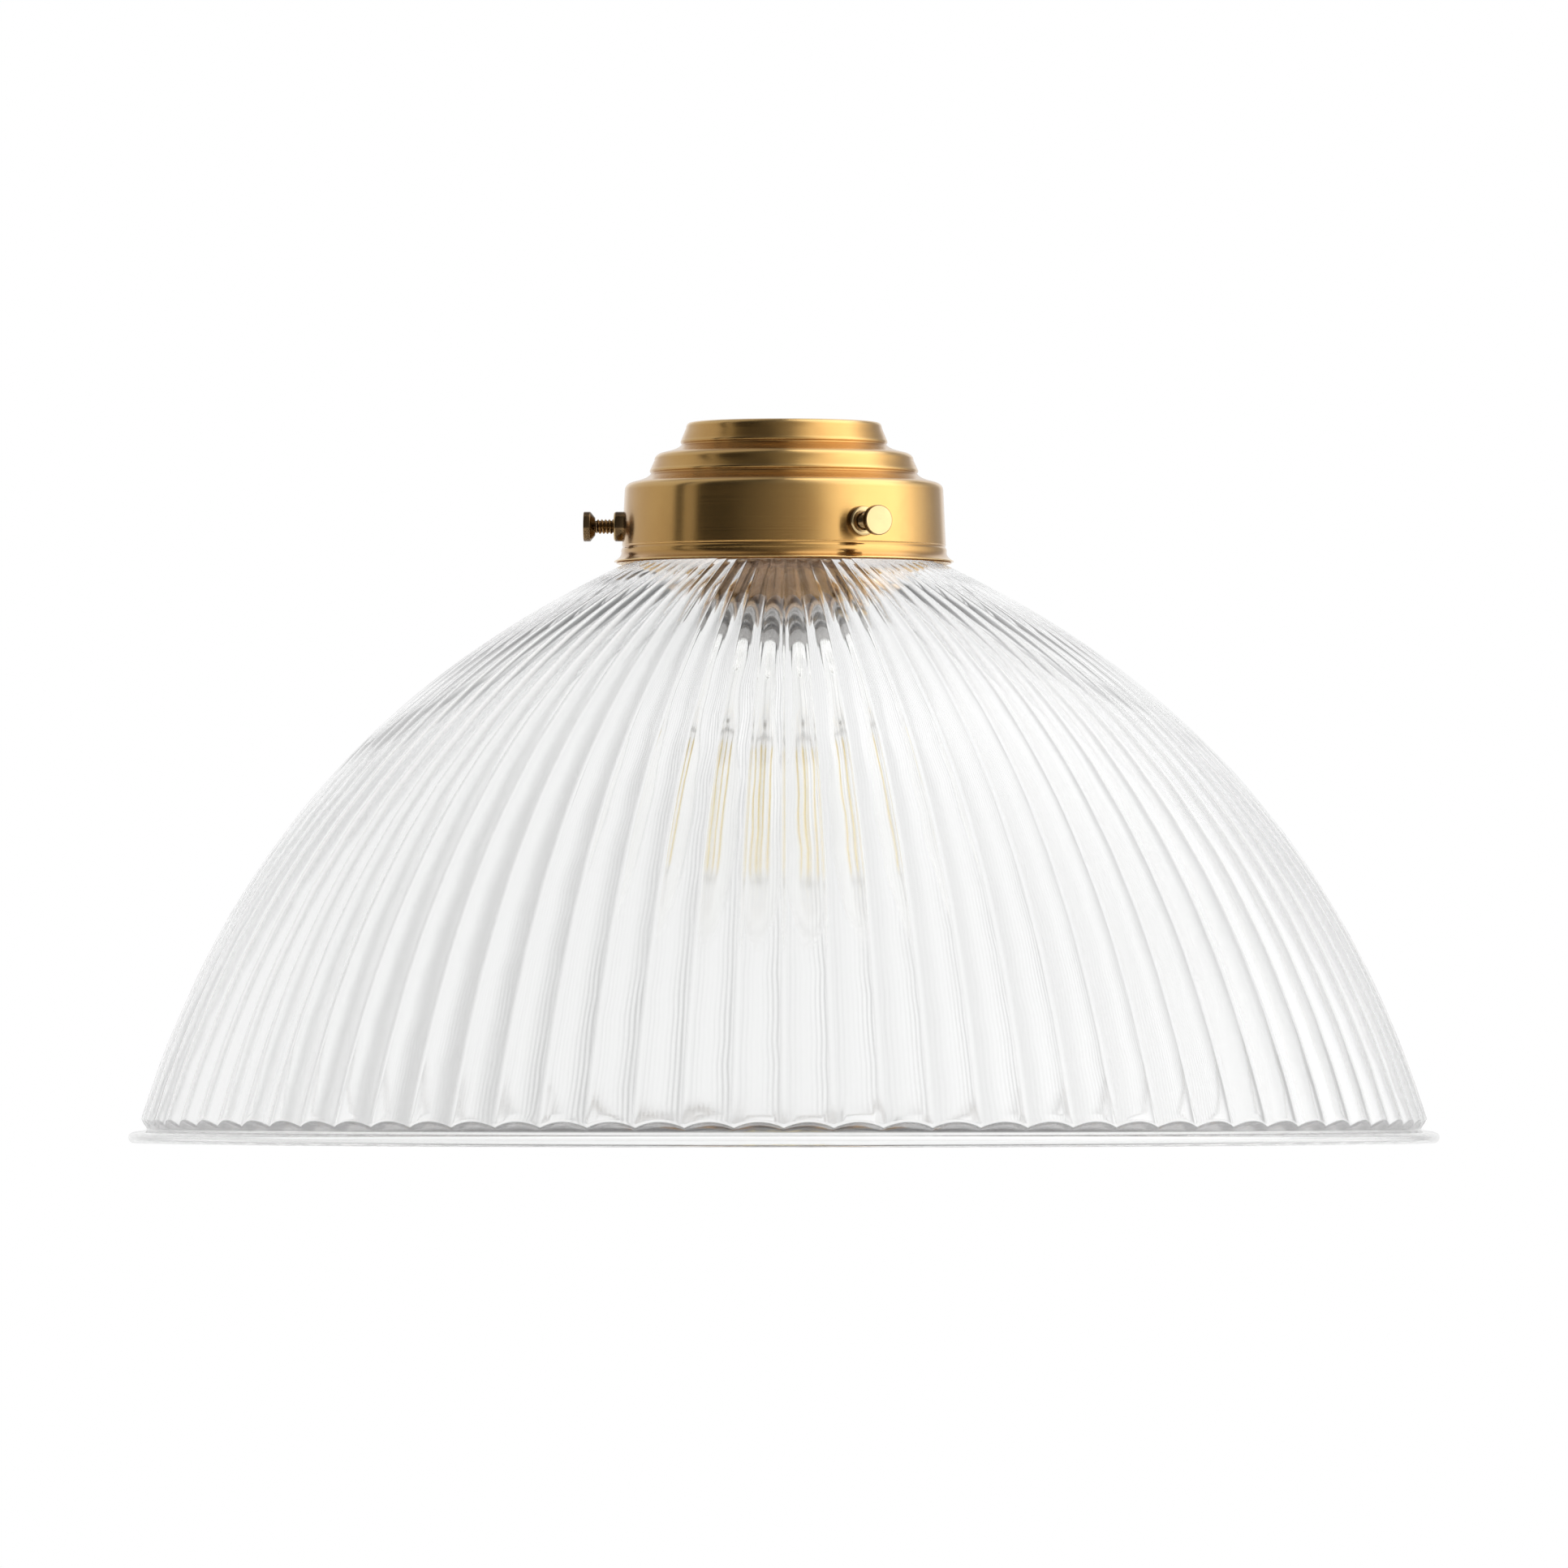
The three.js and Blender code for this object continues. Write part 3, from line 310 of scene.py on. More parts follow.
def satinMetal(name, look):
    # Satin metal: colour = clean metal shaded towards patina by slow blotches and in the hollows, and
    # towards bright metal on worn edges; roughness and bump = fine lathe lines that run round the
    # piece (a noise of radius plus height) or plain fine grain, and the blotches are a little duller.
    finish, tree, shader = newFinish(name)
    place = objectPlace(tree)
    blotch = noise(tree, place, look["blotchScale"], 5, 0.6)
    # On the bosses and thumb screws the bend mark also carries painted shade on the turned sides and a
    # painted highlight on the end faces.
    bend = markOf(tree, "bend")
    hollow = spreadTo(tree, bend, 0.75, 0, -0.8, 0)
    patina = combine(tree, "MAXIMUM", spreadTo(tree, blotch, 0, look["patinaShare"], 0.42, 0.7), hollow)
    aged = mixColour(tree, patina, look["colour"], look["patina"])
    worn = mixColour(tree, spreadTo(tree, bend, 0, 0.7, 0.35, 1), aged, look["bright"])
    if look.get("lathe"):
        flat = addNode(tree, "ShaderNodeMapping", {"Vector": place, "Scale": (1, 1, 0)}).outputs[0]
        out = addNode(tree, "ShaderNodeVectorMath", {0: flat}, operation="LENGTH").outputs["Value"]
        up = addNode(tree, "ShaderNodeSeparateXYZ", {0: place}).outputs["Z"]
        along = combine(tree, "ADD", out, up)
        lines = {"W": along, "Scale": look["grainScale"], "Detail": 4.0, "Roughness": 0.65}
        grain = addNode(tree, "ShaderNodeTexNoise", lines, noise_dimensions="1D").outputs["Fac"]
    else:
        grain = noise(tree, place, look["grainScale"], 3, 0.6)
    rough = spreadTo(tree, grain, *look["roughness"])
    dull = spreadTo(tree, blotch, 0, 0.09, 0.45, 0.75)
    setInputs(tree, shader, {
        "Base Color": worn, "Metallic": 1, "Roughness": combine(tree, "ADD", rough, dull),
        "Coat Weight": look.get("lacquer", 0), "Coat Roughness": 0.16,
        "Anisotropic": look.get("brushed", 0), "Anisotropic Rotation": 0.25})
    bumpTo(tree, shader, grain, look["grainStrength"], 0.00003)
    return finish


def plainFinish(name, look):
    # Glaze, moulded plastic, black glass or phosphor: colour = two near shades mixed by slow noise,
    # roughness = a range by the same noise, bump = fine grain.
    finish, tree, shader = newFinish(name)
    place = objectPlace(tree)
    slow = noise(tree, place, look["blotchScale"], 4)
    share = spreadTo(tree, slow, 0, 1, 0.35, 0.65)
    setInputs(tree, shader, {
        "Base Color": mixColour(tree, share, look["colour"], look["second"]),
        "Roughness": spreadTo(tree, slow, *look["roughness"]),
        "Coat Weight": look.get("coat", 0), "Coat Roughness": 0.08,
        "Subsurface Weight": look.get("soft", 0), "Subsurface Radius": (0.002, 0.0015, 0.001)})
    bumpTo(tree, shader, noise(tree, place, look["grainScale"], 3), look["grainStrength"], 0.0001)
    return finish


looks = {
    "shadeGlass": (clearGlass, {
        "colour": (0.99, 0.992, 0.99), "paintedShadeColour": (0.33, 0.325, 0.325), "bending": 1.5, "smearScale": 40,
        "skin": (0.035, 0.088), "waveScale": 45, "waveStrength": 0.2, "waveHeight": 0.0004}),
    "bulbGlass": (clearGlass, {
        "colour": (0.99, 0.99, 0.985), "bending": 1.5, "smearScale": 60, "skin": (0.01, 0.01),
        "waveScale": 60, "waveStrength": 0.1, "waveHeight": 0.0002}),
    "galleryBrass": (satinMetal, {
        "colour": (0.58, 0.345, 0.112), "patina": (0.44, 0.225, 0.064), "bright": (0.8, 0.56, 0.25),
        "patinaShare": 0.6, "blotchScale": 28, "lathe": True, "grainScale": 2600, "lacquer": 0.2,
        "brushed": 0.8, "roughness": (0.17, 0.23), "grainStrength": 0.16}),
    # Screw brass: darker than the gallery's, with a near-black patina, as painted shade for screws that stand
    # in shade.
    "screwBrass": (satinMetal, {
        "colour": (0.4, 0.26, 0.12), "patina": (0.035, 0.02, 0.012), "bright": (0.66, 0.5, 0.26),
        "patinaShare": 0.4, "blotchScale": 160, "grainScale": 3000,
        "roughness": (0.14, 0.24), "grainStrength": 0.2}),
    # Lampholder brass: near-black patina blotches over all of it, as painted reflection of the dark and
    # bright streaks it mirrors.
    "holderBrass": (satinMetal, {
        "colour": (0.33, 0.225, 0.155), "patina": (0.03, 0.02, 0.015), "bright": (0.45, 0.32, 0.2),
        "patinaShare": 1.0, "blotchScale": 130, "lathe": True, "grainScale": 2600,
        "roughness": (0.12, 0.2), "grainStrength": 0.2}),
    "contactBrass": (satinMetal, {
        "colour": (0.8, 0.58, 0.24), "patina": (0.4, 0.24, 0.09), "bright": (0.9, 0.7, 0.36),
        "patinaShare": 0.5, "blotchScale": 120, "grainScale": 2200,
        "roughness": (0.22, 0.36), "grainStrength": 0.3}),
    "platedSteel": (satinMetal, {
        "colour": (0.6, 0.6, 0.6), "patina": (0.36, 0.35, 0.33), "bright": (0.8, 0.8, 0.79),
        "patinaShare": 0.5, "blotchScale": 150, "grainScale": 2600,
        "roughness": (0.18, 0.34), "grainStrength": 0.3}),
    "capMetal": (satinMetal, {
        "colour": (0.36, 0.35, 0.34), "patina": (0.2, 0.185, 0.17), "bright": (0.7, 0.68, 0.66),
        "patinaShare": 0.5, "blotchScale": 90, "lathe": True, "grainScale": 2200,
        "roughness": (0.16, 0.3), "grainStrength": 0.25}),
    "porcelain": (plainFinish, {
        "colour": (0.82, 0.79, 0.72), "second": (0.76, 0.72, 0.64), "blotchScale": 90,
        "roughness": (0.22, 0.38), "coat": 0.6, "grainScale": 1800, "grainStrength": 0.12}),
    "nylon": (plainFinish, {
        "colour": (0.78, 0.75, 0.66), "second": (0.7, 0.66, 0.56), "blotchScale": 400,
        "roughness": (0.45, 0.6), "soft": 0.3, "grainScale": 4000, "grainStrength": 0.2}),
    "blackGlass": (plainFinish, {
        "colour": (0.016, 0.014, 0.018), "second": (0.03, 0.026, 0.03), "blotchScale": 200,
        "roughness": (0.06, 0.16), "coat": 0.5, "grainScale": 900, "grainStrength": 0.1}),
    "phosphor": (plainFinish, {
        "colour": (0.95, 0.78, 0.32), "second": (0.93, 0.7, 0.24), "blotchScale": 500,
        "roughness": (0.5, 0.7), "soft": 0.15, "grainScale": 3500, "grainStrength": 0.4}),
}
finishes = {name: make(name, look) for name, (make, look) in looks.items()}
print("finishes mixed:", len(finishes))


# Glass shade
shade = {
    "ribs": 84,
    "ribHeight": 1.3,  # crest to valley at the foot, less by a power of the radius further up
    "ribFade": 0.45,
    "domeStart": (43.0, 38.1),
    "domeHandles": ((105.6, 67.6), (148.3, 113.3)),
    "domeFoot": (171.0, 184.0),
    "wall": 4.6,
    "ribEnd": 186.0,  # on the crest, where the groove above the rim starts
    "valleyMore": 1.5,  # how much further down a valley runs
    "neckTop": 20.7,
    "neckFoot": 33.5,
    "neckInner": 34.4,
    "beadRadius": 41.25,
    "beadFoot": 25.9,
    "waistRadius": 38.6,  # under the bead, where the screws' tips reach in
    "rimRadius": 175.0,
    "groove": (170.0, 188.85),
    "paintedShadeRows": (0.5, 1, 1, 1, 1, 0.8, 0.6, 0.4, 0.2),  # painted shade, row by row from the ribs' end
    "foot": 192.6,
    "unevenOutside": 0.16,
    "unevenInside": 0.12,
    "unevenFrom": 42,
    "unevenFade": 30,  # the waves grow to their full size over this depth
    "domeRows": 34,
    "innerRows": 16,
    "columnsPerRib": 12,
}


def unevenness(angle, depth, size):
    # The slow waves of pressed glass: a mean of sines round and down the shade, none on neck or rim.
    s = shade
    turns, downs = np.array([[5, 9, 14, 23, 31, 43], [0.021, -0.034, 0.05, 0.043, -0.07, 0.06]])
    shift = np.array([0.3, 1.9, 4.1, 2.2, 5.6, 3.3])
    waves = np.sin(turns * angle[..., None] + 2 * np.pi * downs * depth[..., None] + shift)
    fade = np.clip((depth - s["unevenFrom"]) / s["unevenFade"], 0, 1) * (depth < s["ribEnd"])
    return size * np.mean(waves, axis=-1) * fade


def ribTable(radius, arch):
    # Across a rib the surface is an arch, 1 - u squared, with u from -1 to 1, and the valleys stand
    # back by the rib's height.
    s = shade
    return radius - s["ribHeight"] * (radius / s["domeFoot"][0]) ** s["ribFade"] * (1 - arch)


def rimStrokes(ribEnd, inner):
    # From a rib's end down the undercut side of the groove, out along its ledge, round the bead, across
    # the foot and a little way up the inside.
    (deep, middle), rim, foot = shade["groove"], shade["rimRadius"], shade["foot"]
    radius, depth = ribEnd
    return drawnLine((radius, depth), [
        ((radius + 0.05, depth + 0.25), (radius - 0.25, depth + 0.35)), ((deep + 0.15, middle - 0.2),),
        ((deep - 0.1, middle + 0.15), (deep + 0.3, middle + 0.25)), ((rim - 2.2, middle + 0.65),),
        ((rim, middle + 0.85), (rim, middle + 2.1)), ((rim, foot), (rim - 1.7, foot)),
        ((inner[0] + 1.4, foot),), ((inner[0], foot), inner)], 4)


def makeShade():
    # The outline runs down the outside, round the rim and up the inside. Each row is laid out for the
    # crests and for the valleys of the ribs, and every column takes its share of the two.
    s = shade
    start, foot = s["domeStart"], s["domeFoot"]
    dome = drawnLine(start, [(*s["domeHandles"], foot)], 400)
    across, down = np.subtract(foot, s["domeHandles"][1])
    slope = across / down
    depths = np.interp(np.linspace(0, 1, s["domeRows"]), np.linspace(0, 1, 401), dome[:, 1])
    outer = np.stack([np.interp(depths, dome[:, 1], dome[:, 0]), depths], axis=1)
    lower = s["ribEnd"] - np.array([[0.5], [0]])
    outer = np.concatenate([outer, np.hstack([foot[0] + slope * (lower - foot[1]), lower])])
    inner = offsetLine(dome, s["wall"])[:: 400 // s["innerRows"]]
    inner = np.concatenate([inner, inner[-1:] + np.array([[3], [6]]) * (slope, 1)])
    neckInner, top, neckFoot = s["neckInner"], s["neckTop"], s["neckFoot"]
    bead, beadFoot, waist = s["beadRadius"], s["beadFoot"], s["waistRadius"]
    neck = drawnLine((neckInner + 1.2, top), [
        ((bead - 1.65, top),), ((bead, top), (bead, top + 1.7)), ((bead, beadFoot - 0.9),),
        ((bead, beadFoot), (bead - 0.95, beadFoot)), ((waist + 0.3, beadFoot),),
        ((waist, beadFoot), (waist, beadFoot + 0.4)), ((waist, neckFoot),),
        ((waist, start[1]), start)], 3)[:-1]
    neckIn = drawnLine(inner[0], [
        ((neckInner, start[1]), (neckInner, neckFoot)), ((neckInner, top + 1.2),),
        ((neckInner, top), (neckInner + 1.2, top))], 3)[1:-1]
    columns = s["ribs"] * s["columnsPerRib"]
    angle = 2 * np.pi * np.arange(columns) / columns
    u = np.tile(np.arange(s["columnsPerRib"]) / s["columnsPerRib"] * 2 - 1, s["ribs"])
    arch = 1 - u[None] ** 2
    below = np.clip((outer[:, 1:] - foot[1]) / (s["ribEnd"] - foot[1]), 0, 1)
    outerDepth = outer[:, 1:] + s["valleyMore"] * (1 - arch) * below
    outerRadius = ribTable(outer[:, :1] + slope * (outerDepth - outer[:, 1:]), arch)
    crestRim, valleyRim = (rimStrokes((outerRadius[-1, u == at][0], outerDepth[-1, u == at][0]), inner[-1])
                           for at in (0, -1))
    rim = crestRim[1:-1, None] * arch[..., None] + valleyRim[1:-1, None] * (1 - arch[..., None])
    plain = [np.repeat(line[:, None], columns, axis=1) for line in (neck, inner[::-1], neckIn)]
    table = np.concatenate([plain[0], np.stack([outerRadius, outerDepth], axis=-1), rim, *plain[1:]])
    radius, depth = table[..., 0].copy(), table[..., 1]
    rows = len(neck) + len(outer)
    radius[:rows] += unevenness(angle, depth[:rows], s["unevenOutside"])
    radius[rows:] += unevenness(angle + 1.1, depth[rows:], s["unevenInside"])
    grid = np.stack([radius * np.cos(angle), radius * np.sin(angle), -depth], axis=-1)
    # The groove mark: painted shade on the rows of the groove above the rim, as a share of the darker glass
    # colour.
    groove = np.zeros((len(grid), 1))
    groove[rows:rows + len(s["paintedShadeRows"]), 0] = s["paintedShadeRows"]
    piece = newPiece("ribbedShade", grid, "shadeGlass", sharpAngle=180, marks={"groove": groove})
    roundNormals(piece, grid)
    settle(piece, "root", "shade_glass", "glass_shade")
    print("shade:", grid.shape, "corners")


makeShade()


# Gallery
gallery = {
    "sheet": 0.85,
    "bushHole": 6.8,
    "crown": (26.1, 27.6, 5.6),  # radius at the top, radius at the foot, depth of the foot
    "middle": (34.7, 35.8, 13.4),
    "body": (42.6, 43.3, 33.4),
    "middleTop": 8.2,
    "bodyTop": 16.1,
    "wallTop": 19.3,
    "lip": (45.5, 37.4),
    "columns": 192,
}
screws = {
    "angles": (28, 148, 268),  # degrees from the front towards the right
    "depth": 27.8,
    "holeRadius": 3.3, "drillFrom": 36.0, "drillTo": 50.0,
    "bossFace": 45.52, "bossRadius": 4.0, "bossBore": 2.3, "spigotRadius": 3.0,
    "shankRadius": 2.0, "shankEnd": 41.6, "socketRadius": 1.1, "socketEnd": 43.2,
    "headFoot": 50.42, "headTop": 52.22, "headFace": 53.62, "headRadius": 4.0,
    "pitch": 1.0, "threadDepth": 0.42,
    "tipEnd": 38.9, "tipShoulder": 41.3, "tipRadius": 1.6, "tipPinRadius": 0.8, "tipPinEnd": 42.9,
    "paintedSideShade": 1.5,  # painted shade: the turned sides are darkened as in a hollow, and the end faces get a painted highlight of bright metal
}


def bodyRadiusAt(depth):
    # The body's wall widens evenly from its top to its foot.
    top, foot, footDepth = gallery["body"]
    return top + (foot - top) * (depth - gallery["wallTop"]) / (footDepth - gallery["wallTop"])


def tierStep(foot, depth, roll, top, topDepth):
    # Down a tier's flared wall, round its fine rolled foot, along the hollow curve out to the next tier
    # and over that one's rounded shoulder.
    return [
        ((foot - 0.1, depth - 0.9),), ((foot + roll, depth - 0.4), (foot, depth)),
        ((foot - 0.35, depth + 0.35), (foot + 0.1, depth + 0.7)),
        ((foot + 1.1, topDepth - 0.9), (top - 2.4, topDepth - 0.15)),
        ((top - 0.1, topDepth + 0.3), (top, topDepth + 2.1))]


def galleryOutline():
    # The stepped outside from the bush hole to the lip.
    g = gallery
    crownTop, crownFoot, crownDepth = g["crown"]
    middleTop, middleFoot, middleDepth = g["middle"]
    bodyTop, bodyFoot, bodyDepth = g["body"]
    lipRadius, lipDepth = g["lip"]
    return drawnLine((g["bushHole"], 0), [
        ((crownTop - 1.5, 0),), ((crownTop, 0), (crownTop + 0.1, 1.5)),
        *tierStep(crownFoot, crownDepth, 0.2, middleTop, g["middleTop"]),
        *tierStep(middleFoot, middleDepth, 0.25, bodyTop, g["bodyTop"]),
        ((bodyFoot, bodyDepth - 0.5),),
        ((bodyFoot - 0.3, bodyDepth - 0.1), (bodyFoot - 0.05, bodyDepth + 0.3)),
        ((bodyFoot + 0.35, bodyDepth + 0.6), (bodyFoot + 0.2, bodyDepth + 1.6)),
        ((bodyFoot + 0.3, lipDepth - 1.2), (lipRadius - 0.25, lipDepth - 0.35)),
        ((lipRadius, lipDepth - 0.2), (lipRadius - 0.15, lipDepth))], 7)


def alongScrew(grid, number):
    # Lays a turned grid on a screw's axis: its third axis points out of the gallery.
    angle = math.radians(screws["angles"][number])
    axes = np.array([[math.cos(angle), math.sin(angle), 0], [0, 0, 1],
                     [math.sin(angle), -math.cos(angle), 0]])
    return grid @ axes + np.array([0, 0, -screws["depth"]])


def cutHoles(piece, radius, columns=32):
    # Takes a round bar out of the wall on each screw's axis.
    s = screws
    start, stop = s["drillFrom"], s["drillTo"]
    bar = np.array([(0, start), (radius, start), (radius, stop), (0, stop)])
    for number in range(len(s["angles"])):
        drill = newPiece("drill", alongScrew(turnedGrid(bar, columns), number), "galleryBrass", closed=False)
        cut = piece.modifiers.new("hole", "BOOLEAN")
        cut.object, cut.solver = drill, "EXACT"
        bpy.context.view_layer.update()
        old = piece.data
        piece.data = bpy.data.meshes.new_from_object(
            piece.evaluated_get(bpy.context.evaluated_depsgraph_get()))
        piece.modifiers.clear()
        bpy.data.meshes.remove(old)
        bpy.data.objects.remove(drill)
    piece.data.set_sharp_from_angle(angle=math.radians(32))
    piece.data.name = piece.name


def makeGallery():
    outside = galleryOutline()
    inside = offsetLine(outside, gallery["sheet"])
    inside[-1] = (gallery["lip"][0] - 0.75, gallery["lip"][1])
    line = np.concatenate([outside, inside[::-1]])
    piece = turnedPiece("steppedGallery", line, gallery["columns"], "galleryBrass", longest=1.6)
    cutHoles(piece, screws["holeRadius"])
    settle(piece, "root", "brass", "gallery_body")
    print("gallery:", len(piece.data.polygons), "faces")


makeGallery()


# Bosses, thumb screws and their tips
def makeBoss(number):
    # A turned boss whose foot follows the round tapered wall: the wall's distance from the axis at a
    # side step x is the root of its radius squared less x squared.
    s = screws
    face, outer = s["bossFace"], s["bossRadius"]
    bore, spigot = s["bossBore"], s["spigotRadius"]
    upper = roundedLine([(bore, face - 2, 0), (bore, face, 0.3), (outer, face, 1.15),
                         (outer, face - 2, 0)], closed=False, steps=5)
    seat = bodyRadiusAt(s["depth"])
    line = np.concatenate([[(bore, seat - gallery["sheet"])], upper[:-1],
                           [(outer, seat), (spigot, seat), (spigot, seat - gallery["sheet"])]])
    grid = turnedGrid(line, 48)
    wall = bodyRadiusAt(s["depth"] - grid[..., 1])
    gap = 0.03  # keeps the boss's foot just off the wall
    for row, off in ((0, -gallery["sheet"]), (-3, gap), (-2, gap), (-1, -gallery["sheet"])):
        grid[row, :, 2] = np.sqrt((wall[row] + off) ** 2 - grid[row, :, 0] ** 2)
    # Painted shade on the boss's turned sides and a painted highlight on its face, through the bend mark.
    dull = bendOf(line, 0.5)[:, None] - s["paintedSideShade"]
    marks = {"bend": np.where(line[:, 1:] > face - 0.5, 1, dull)}
    piece = newPiece(f"boss{number + 1}", alongScrew(grid, number), "screwBrass", marks=marks)
    settle(piece, "root", "screw_brass", f"screw_boss_{number + 1}")


def threadWave(phase):
    # 0 on the crest and 1 in the root of a thread with straight flanks and slightly eased tops.
    flank = np.abs((phase % 1) * 2 - 1)
    return np.clip((flank - 0.1) / 0.8, 0, 1)


def makeScrew(number):
    s = screws
    shank, root = s["shankRadius"], s["shankRadius"] - s["threadDepth"]
    start, stop = s["shankEnd"], s["headFoot"]
    head, top, face = s["headRadius"], s["headTop"], s["headFace"]
    steps = np.arange(start + 0.3, stop - 0.1, s["pitch"] / 10)
    thread = np.stack([np.full(len(steps), shank), steps], axis=1)
    socket = np.array([(0, s["socketEnd"]), (s["socketRadius"], s["socketEnd"]),
                       (s["socketRadius"], start), (root, start)])
    headLine = roundedLine([(root, stop, 0), (shank + 0.4, stop + 0.1, 0.15), (head, top - 0.4, 0.2),
                            (head, face, 0.28), (0, face, 0)], closed=False)
    line = np.concatenate([socket, thread, headLine])
    columns = 40
    angle = np.arange(columns) / columns
    radius = np.repeat(line[:, :1], columns, axis=1)
    rows = slice(len(socket), len(socket) + len(thread))
    fade = np.clip(np.minimum(steps - start, stop - steps) / 0.5, 0, 1)[:, None]
    wave = threadWave(steps[:, None] / s["pitch"] - angle[None])
    radius[rows] = shank - s["threadDepth"] * (1 - fade * (1 - wave))
    line = np.round(line, 6)
    # Painted shade on the turned sides and a painted highlight on the end face, through the bend mark; the
    # thread's roots are darkened too.
    bend = (bendOf(line, 0.35, closed=False)[:, None] - s["paintedSideShade"]) * np.ones(columns)
    bend[line[:, 1] > face - 0.01] = 1
    bend[rows] = 0.3 - 1.2 * wave
    piece = newPiece(f"thumbScrew{number + 1}", alongScrew(turnedGrid(line, columns, radius), number),
                     "screwBrass", closed=False, marks={"bend": bend})
    settle(piece, f"screw_{number + 1}", "screw_brass", f"thumb_screw_{number + 1}")


def makeTip(number):
    s = screws
    shoulder, end, radius = s["tipShoulder"], s["tipEnd"], s["tipRadius"]
    pin, pinEnd = s["tipPinRadius"], s["tipPinEnd"]
    line = roundedLine([(0, end, 0), (radius, end, 0.5), (radius, shoulder, 0.2),
                        (pin, shoulder, 0.1), (pin, pinEnd, 0.25), (0, pinEnd, 0)], closed=False)
    piece = newPiece(f"softTip{number + 1}", alongScrew(turnedGrid(line, 32), number),
                     "nylon", closed=False)
    settle(piece, f"screw_{number + 1}_tip", "nylon", f"screw_tip_{number + 1}")


for number in range(len(screws["angles"])):
    makeBoss(number)
    makeScrew(number)
    makeTip(number)
print("thumb screws:", len(screws["angles"]))

# Suspension bush
bush = {"bore": 4.45, "tube": 6.5, "flange": 10.0, "flangeTop": 1.15, "flangeFoot": 3.15, "foot": 12.05,
        "pitch": 1.0, "threadDepth": 0.3}


def makeBush():
    # A flanged tube. In the bore each radius grows by the thread's depth times a wave of height
    # over pitch less angle, which is a right-handed inside thread.
    hole, tube, flange, foot = bush["bore"], bush["tube"], bush["flange"], bush["foot"]
    flangeTop, flangeFoot = bush["flangeTop"], bush["flangeFoot"]
    outside = roundedLine([
        (hole + 0.5, 0, 0), (tube, 0, 0.3), (tube, flangeTop, 0.1), (flange, flangeTop, 0.3),
        (flange, flangeFoot, 0.3), (tube, flangeFoot, 0.2), (tube, foot, 0.4), (hole + 0.5, foot, 0)],
        closed=False, steps=3)
    depths = np.arange(foot - 0.4, 0.3, -bush["pitch"] / 8)
    bore = np.stack([np.full(len(depths), hole), depths], axis=1)
    line = np.concatenate([outside, bore])
    columns = 64
    radius = np.repeat(line[:, :1], columns, axis=1)
    fade = np.clip(np.minimum(depths, foot - depths), 0, 1)[:, None]
    wave = threadWave(-depths[:, None] / bush["pitch"] - np.arange(columns)[None] / columns)
    radius[len(outside):] += bush["threadDepth"] * fade * wave
    marks = {"bend": np.concatenate([bendOf(outside, 0.4, closed=False), np.zeros(len(bore))])[:, None]}
    piece = newPiece("suspensionBush", hung(turnedGrid(line, columns, radius)), "galleryBrass", marks=marks)
    settle(piece, "root", "brass", "suspension_bush")


makeBush()
print("suspension bush made")

# Lampholder
holder = {
    "radius": 18.5, "inner": 17.6, "bore": 6.8, "collar": 9.2,
    "top": 6.55, "shoulder": 11.15, "innerTop": 12.05, "split": 25.85,
    "spigotTop": 21.65, "spigotInner": 16.4, "spigotOuter": 17.3, "skirtTop": 26.15, "foot": 51.85,
}
socket = {"hole": 7.0, "top": 31.65, "wall": 0.6, "crest": 13.6, "foot": 50.35}
e27 = {"depth": 1.05, "pitch": 3.62, "rowsPerTurn": 20, "columns": 96}  # the thread of socket and bulb cap


def makeHolderCap():
    h = holder
    radius, top, shoulder, split = h["radius"], h["top"], h["shoulder"], h["split"]
    bore, inner, innerTop = h["bore"], h["inner"], h["innerTop"]
    line = roundedLine([
        (bore, top, 0.3), (h["collar"], top, 0.8), (h["collar"], shoulder, 0.7), (radius, shoulder, 3.6),
        (radius, split - 1.0, 0.3), (radius - 0.25, split - 0.6, 0.2), (radius - 0.1, split, 0.2),
        (inner, split, 0.15), (inner, innerTop, 2.7), (bore, innerTop, 0.3)], steps=6)
    piece = turnedPiece("lampholderCap", line, 112, "holderBrass")
    settle(piece, "root", "holder_brass", "lampholder_cap")


def makeHolderSkirt():
    h = holder
    radius, top, foot = h["radius"], h["skirtTop"], h["foot"]
    line = roundedLine([
        (h["spigotInner"], h["spigotTop"], 0.1), (h["spigotOuter"], h["spigotTop"], 0.2),
        (h["spigotOuter"], top, 0.1), (radius - 0.1, top, 0.25), (radius - 0.25, top + 0.6, 0.2),
        (radius, top + 1.0, 0.3), (radius, foot - 2.4, 0.8), (radius + 0.6, foot - 1.3, 0.5),
        (radius + 0.6, foot, 0.55), (h["spigotInner"], foot, 0.3)], steps=5)
    piece = turnedPiece("lampholderSkirt", line, 112, "holderBrass")
    settle(piece, "root", "holder_brass", "lampholder_skirt")


def helixRows(crest, start, stop):
    # Rows of a rounded right-handed thread: radius = crest less depth times (1 - cos) / 2 of the
    # angle plus the height in turns.
    pitch, columns = e27["pitch"], e27["columns"]
    places = np.linspace(start, stop, int(round(abs(stop - start) / pitch * e27["rowsPerTurn"])) + 1)
    turn = 2 * np.pi * (places[:, None] / pitch + np.arange(columns)[None] / columns)
    radius = crest - e27["depth"] * (1 - np.cos(turn)) / 2
    return np.stack([radius, np.repeat(places[:, None], columns, axis=1)], axis=-1)


def threadedPiece(name, parts, finish):
    # Joins plain loops, given as (radius, depth), and helix rows into one skin.
    columns = e27["columns"]
    rows = np.concatenate([
        np.broadcast_to(np.reshape(part, (len(part), -1, 2)), (len(part), columns, 2)) for part in parts])
    grid = hung(turnedGrid(rows[:, 0], columns, rows[..., 0]))
    return newPiece(name, grid, finish, marks={"bend": np.zeros((len(rows), 1))})


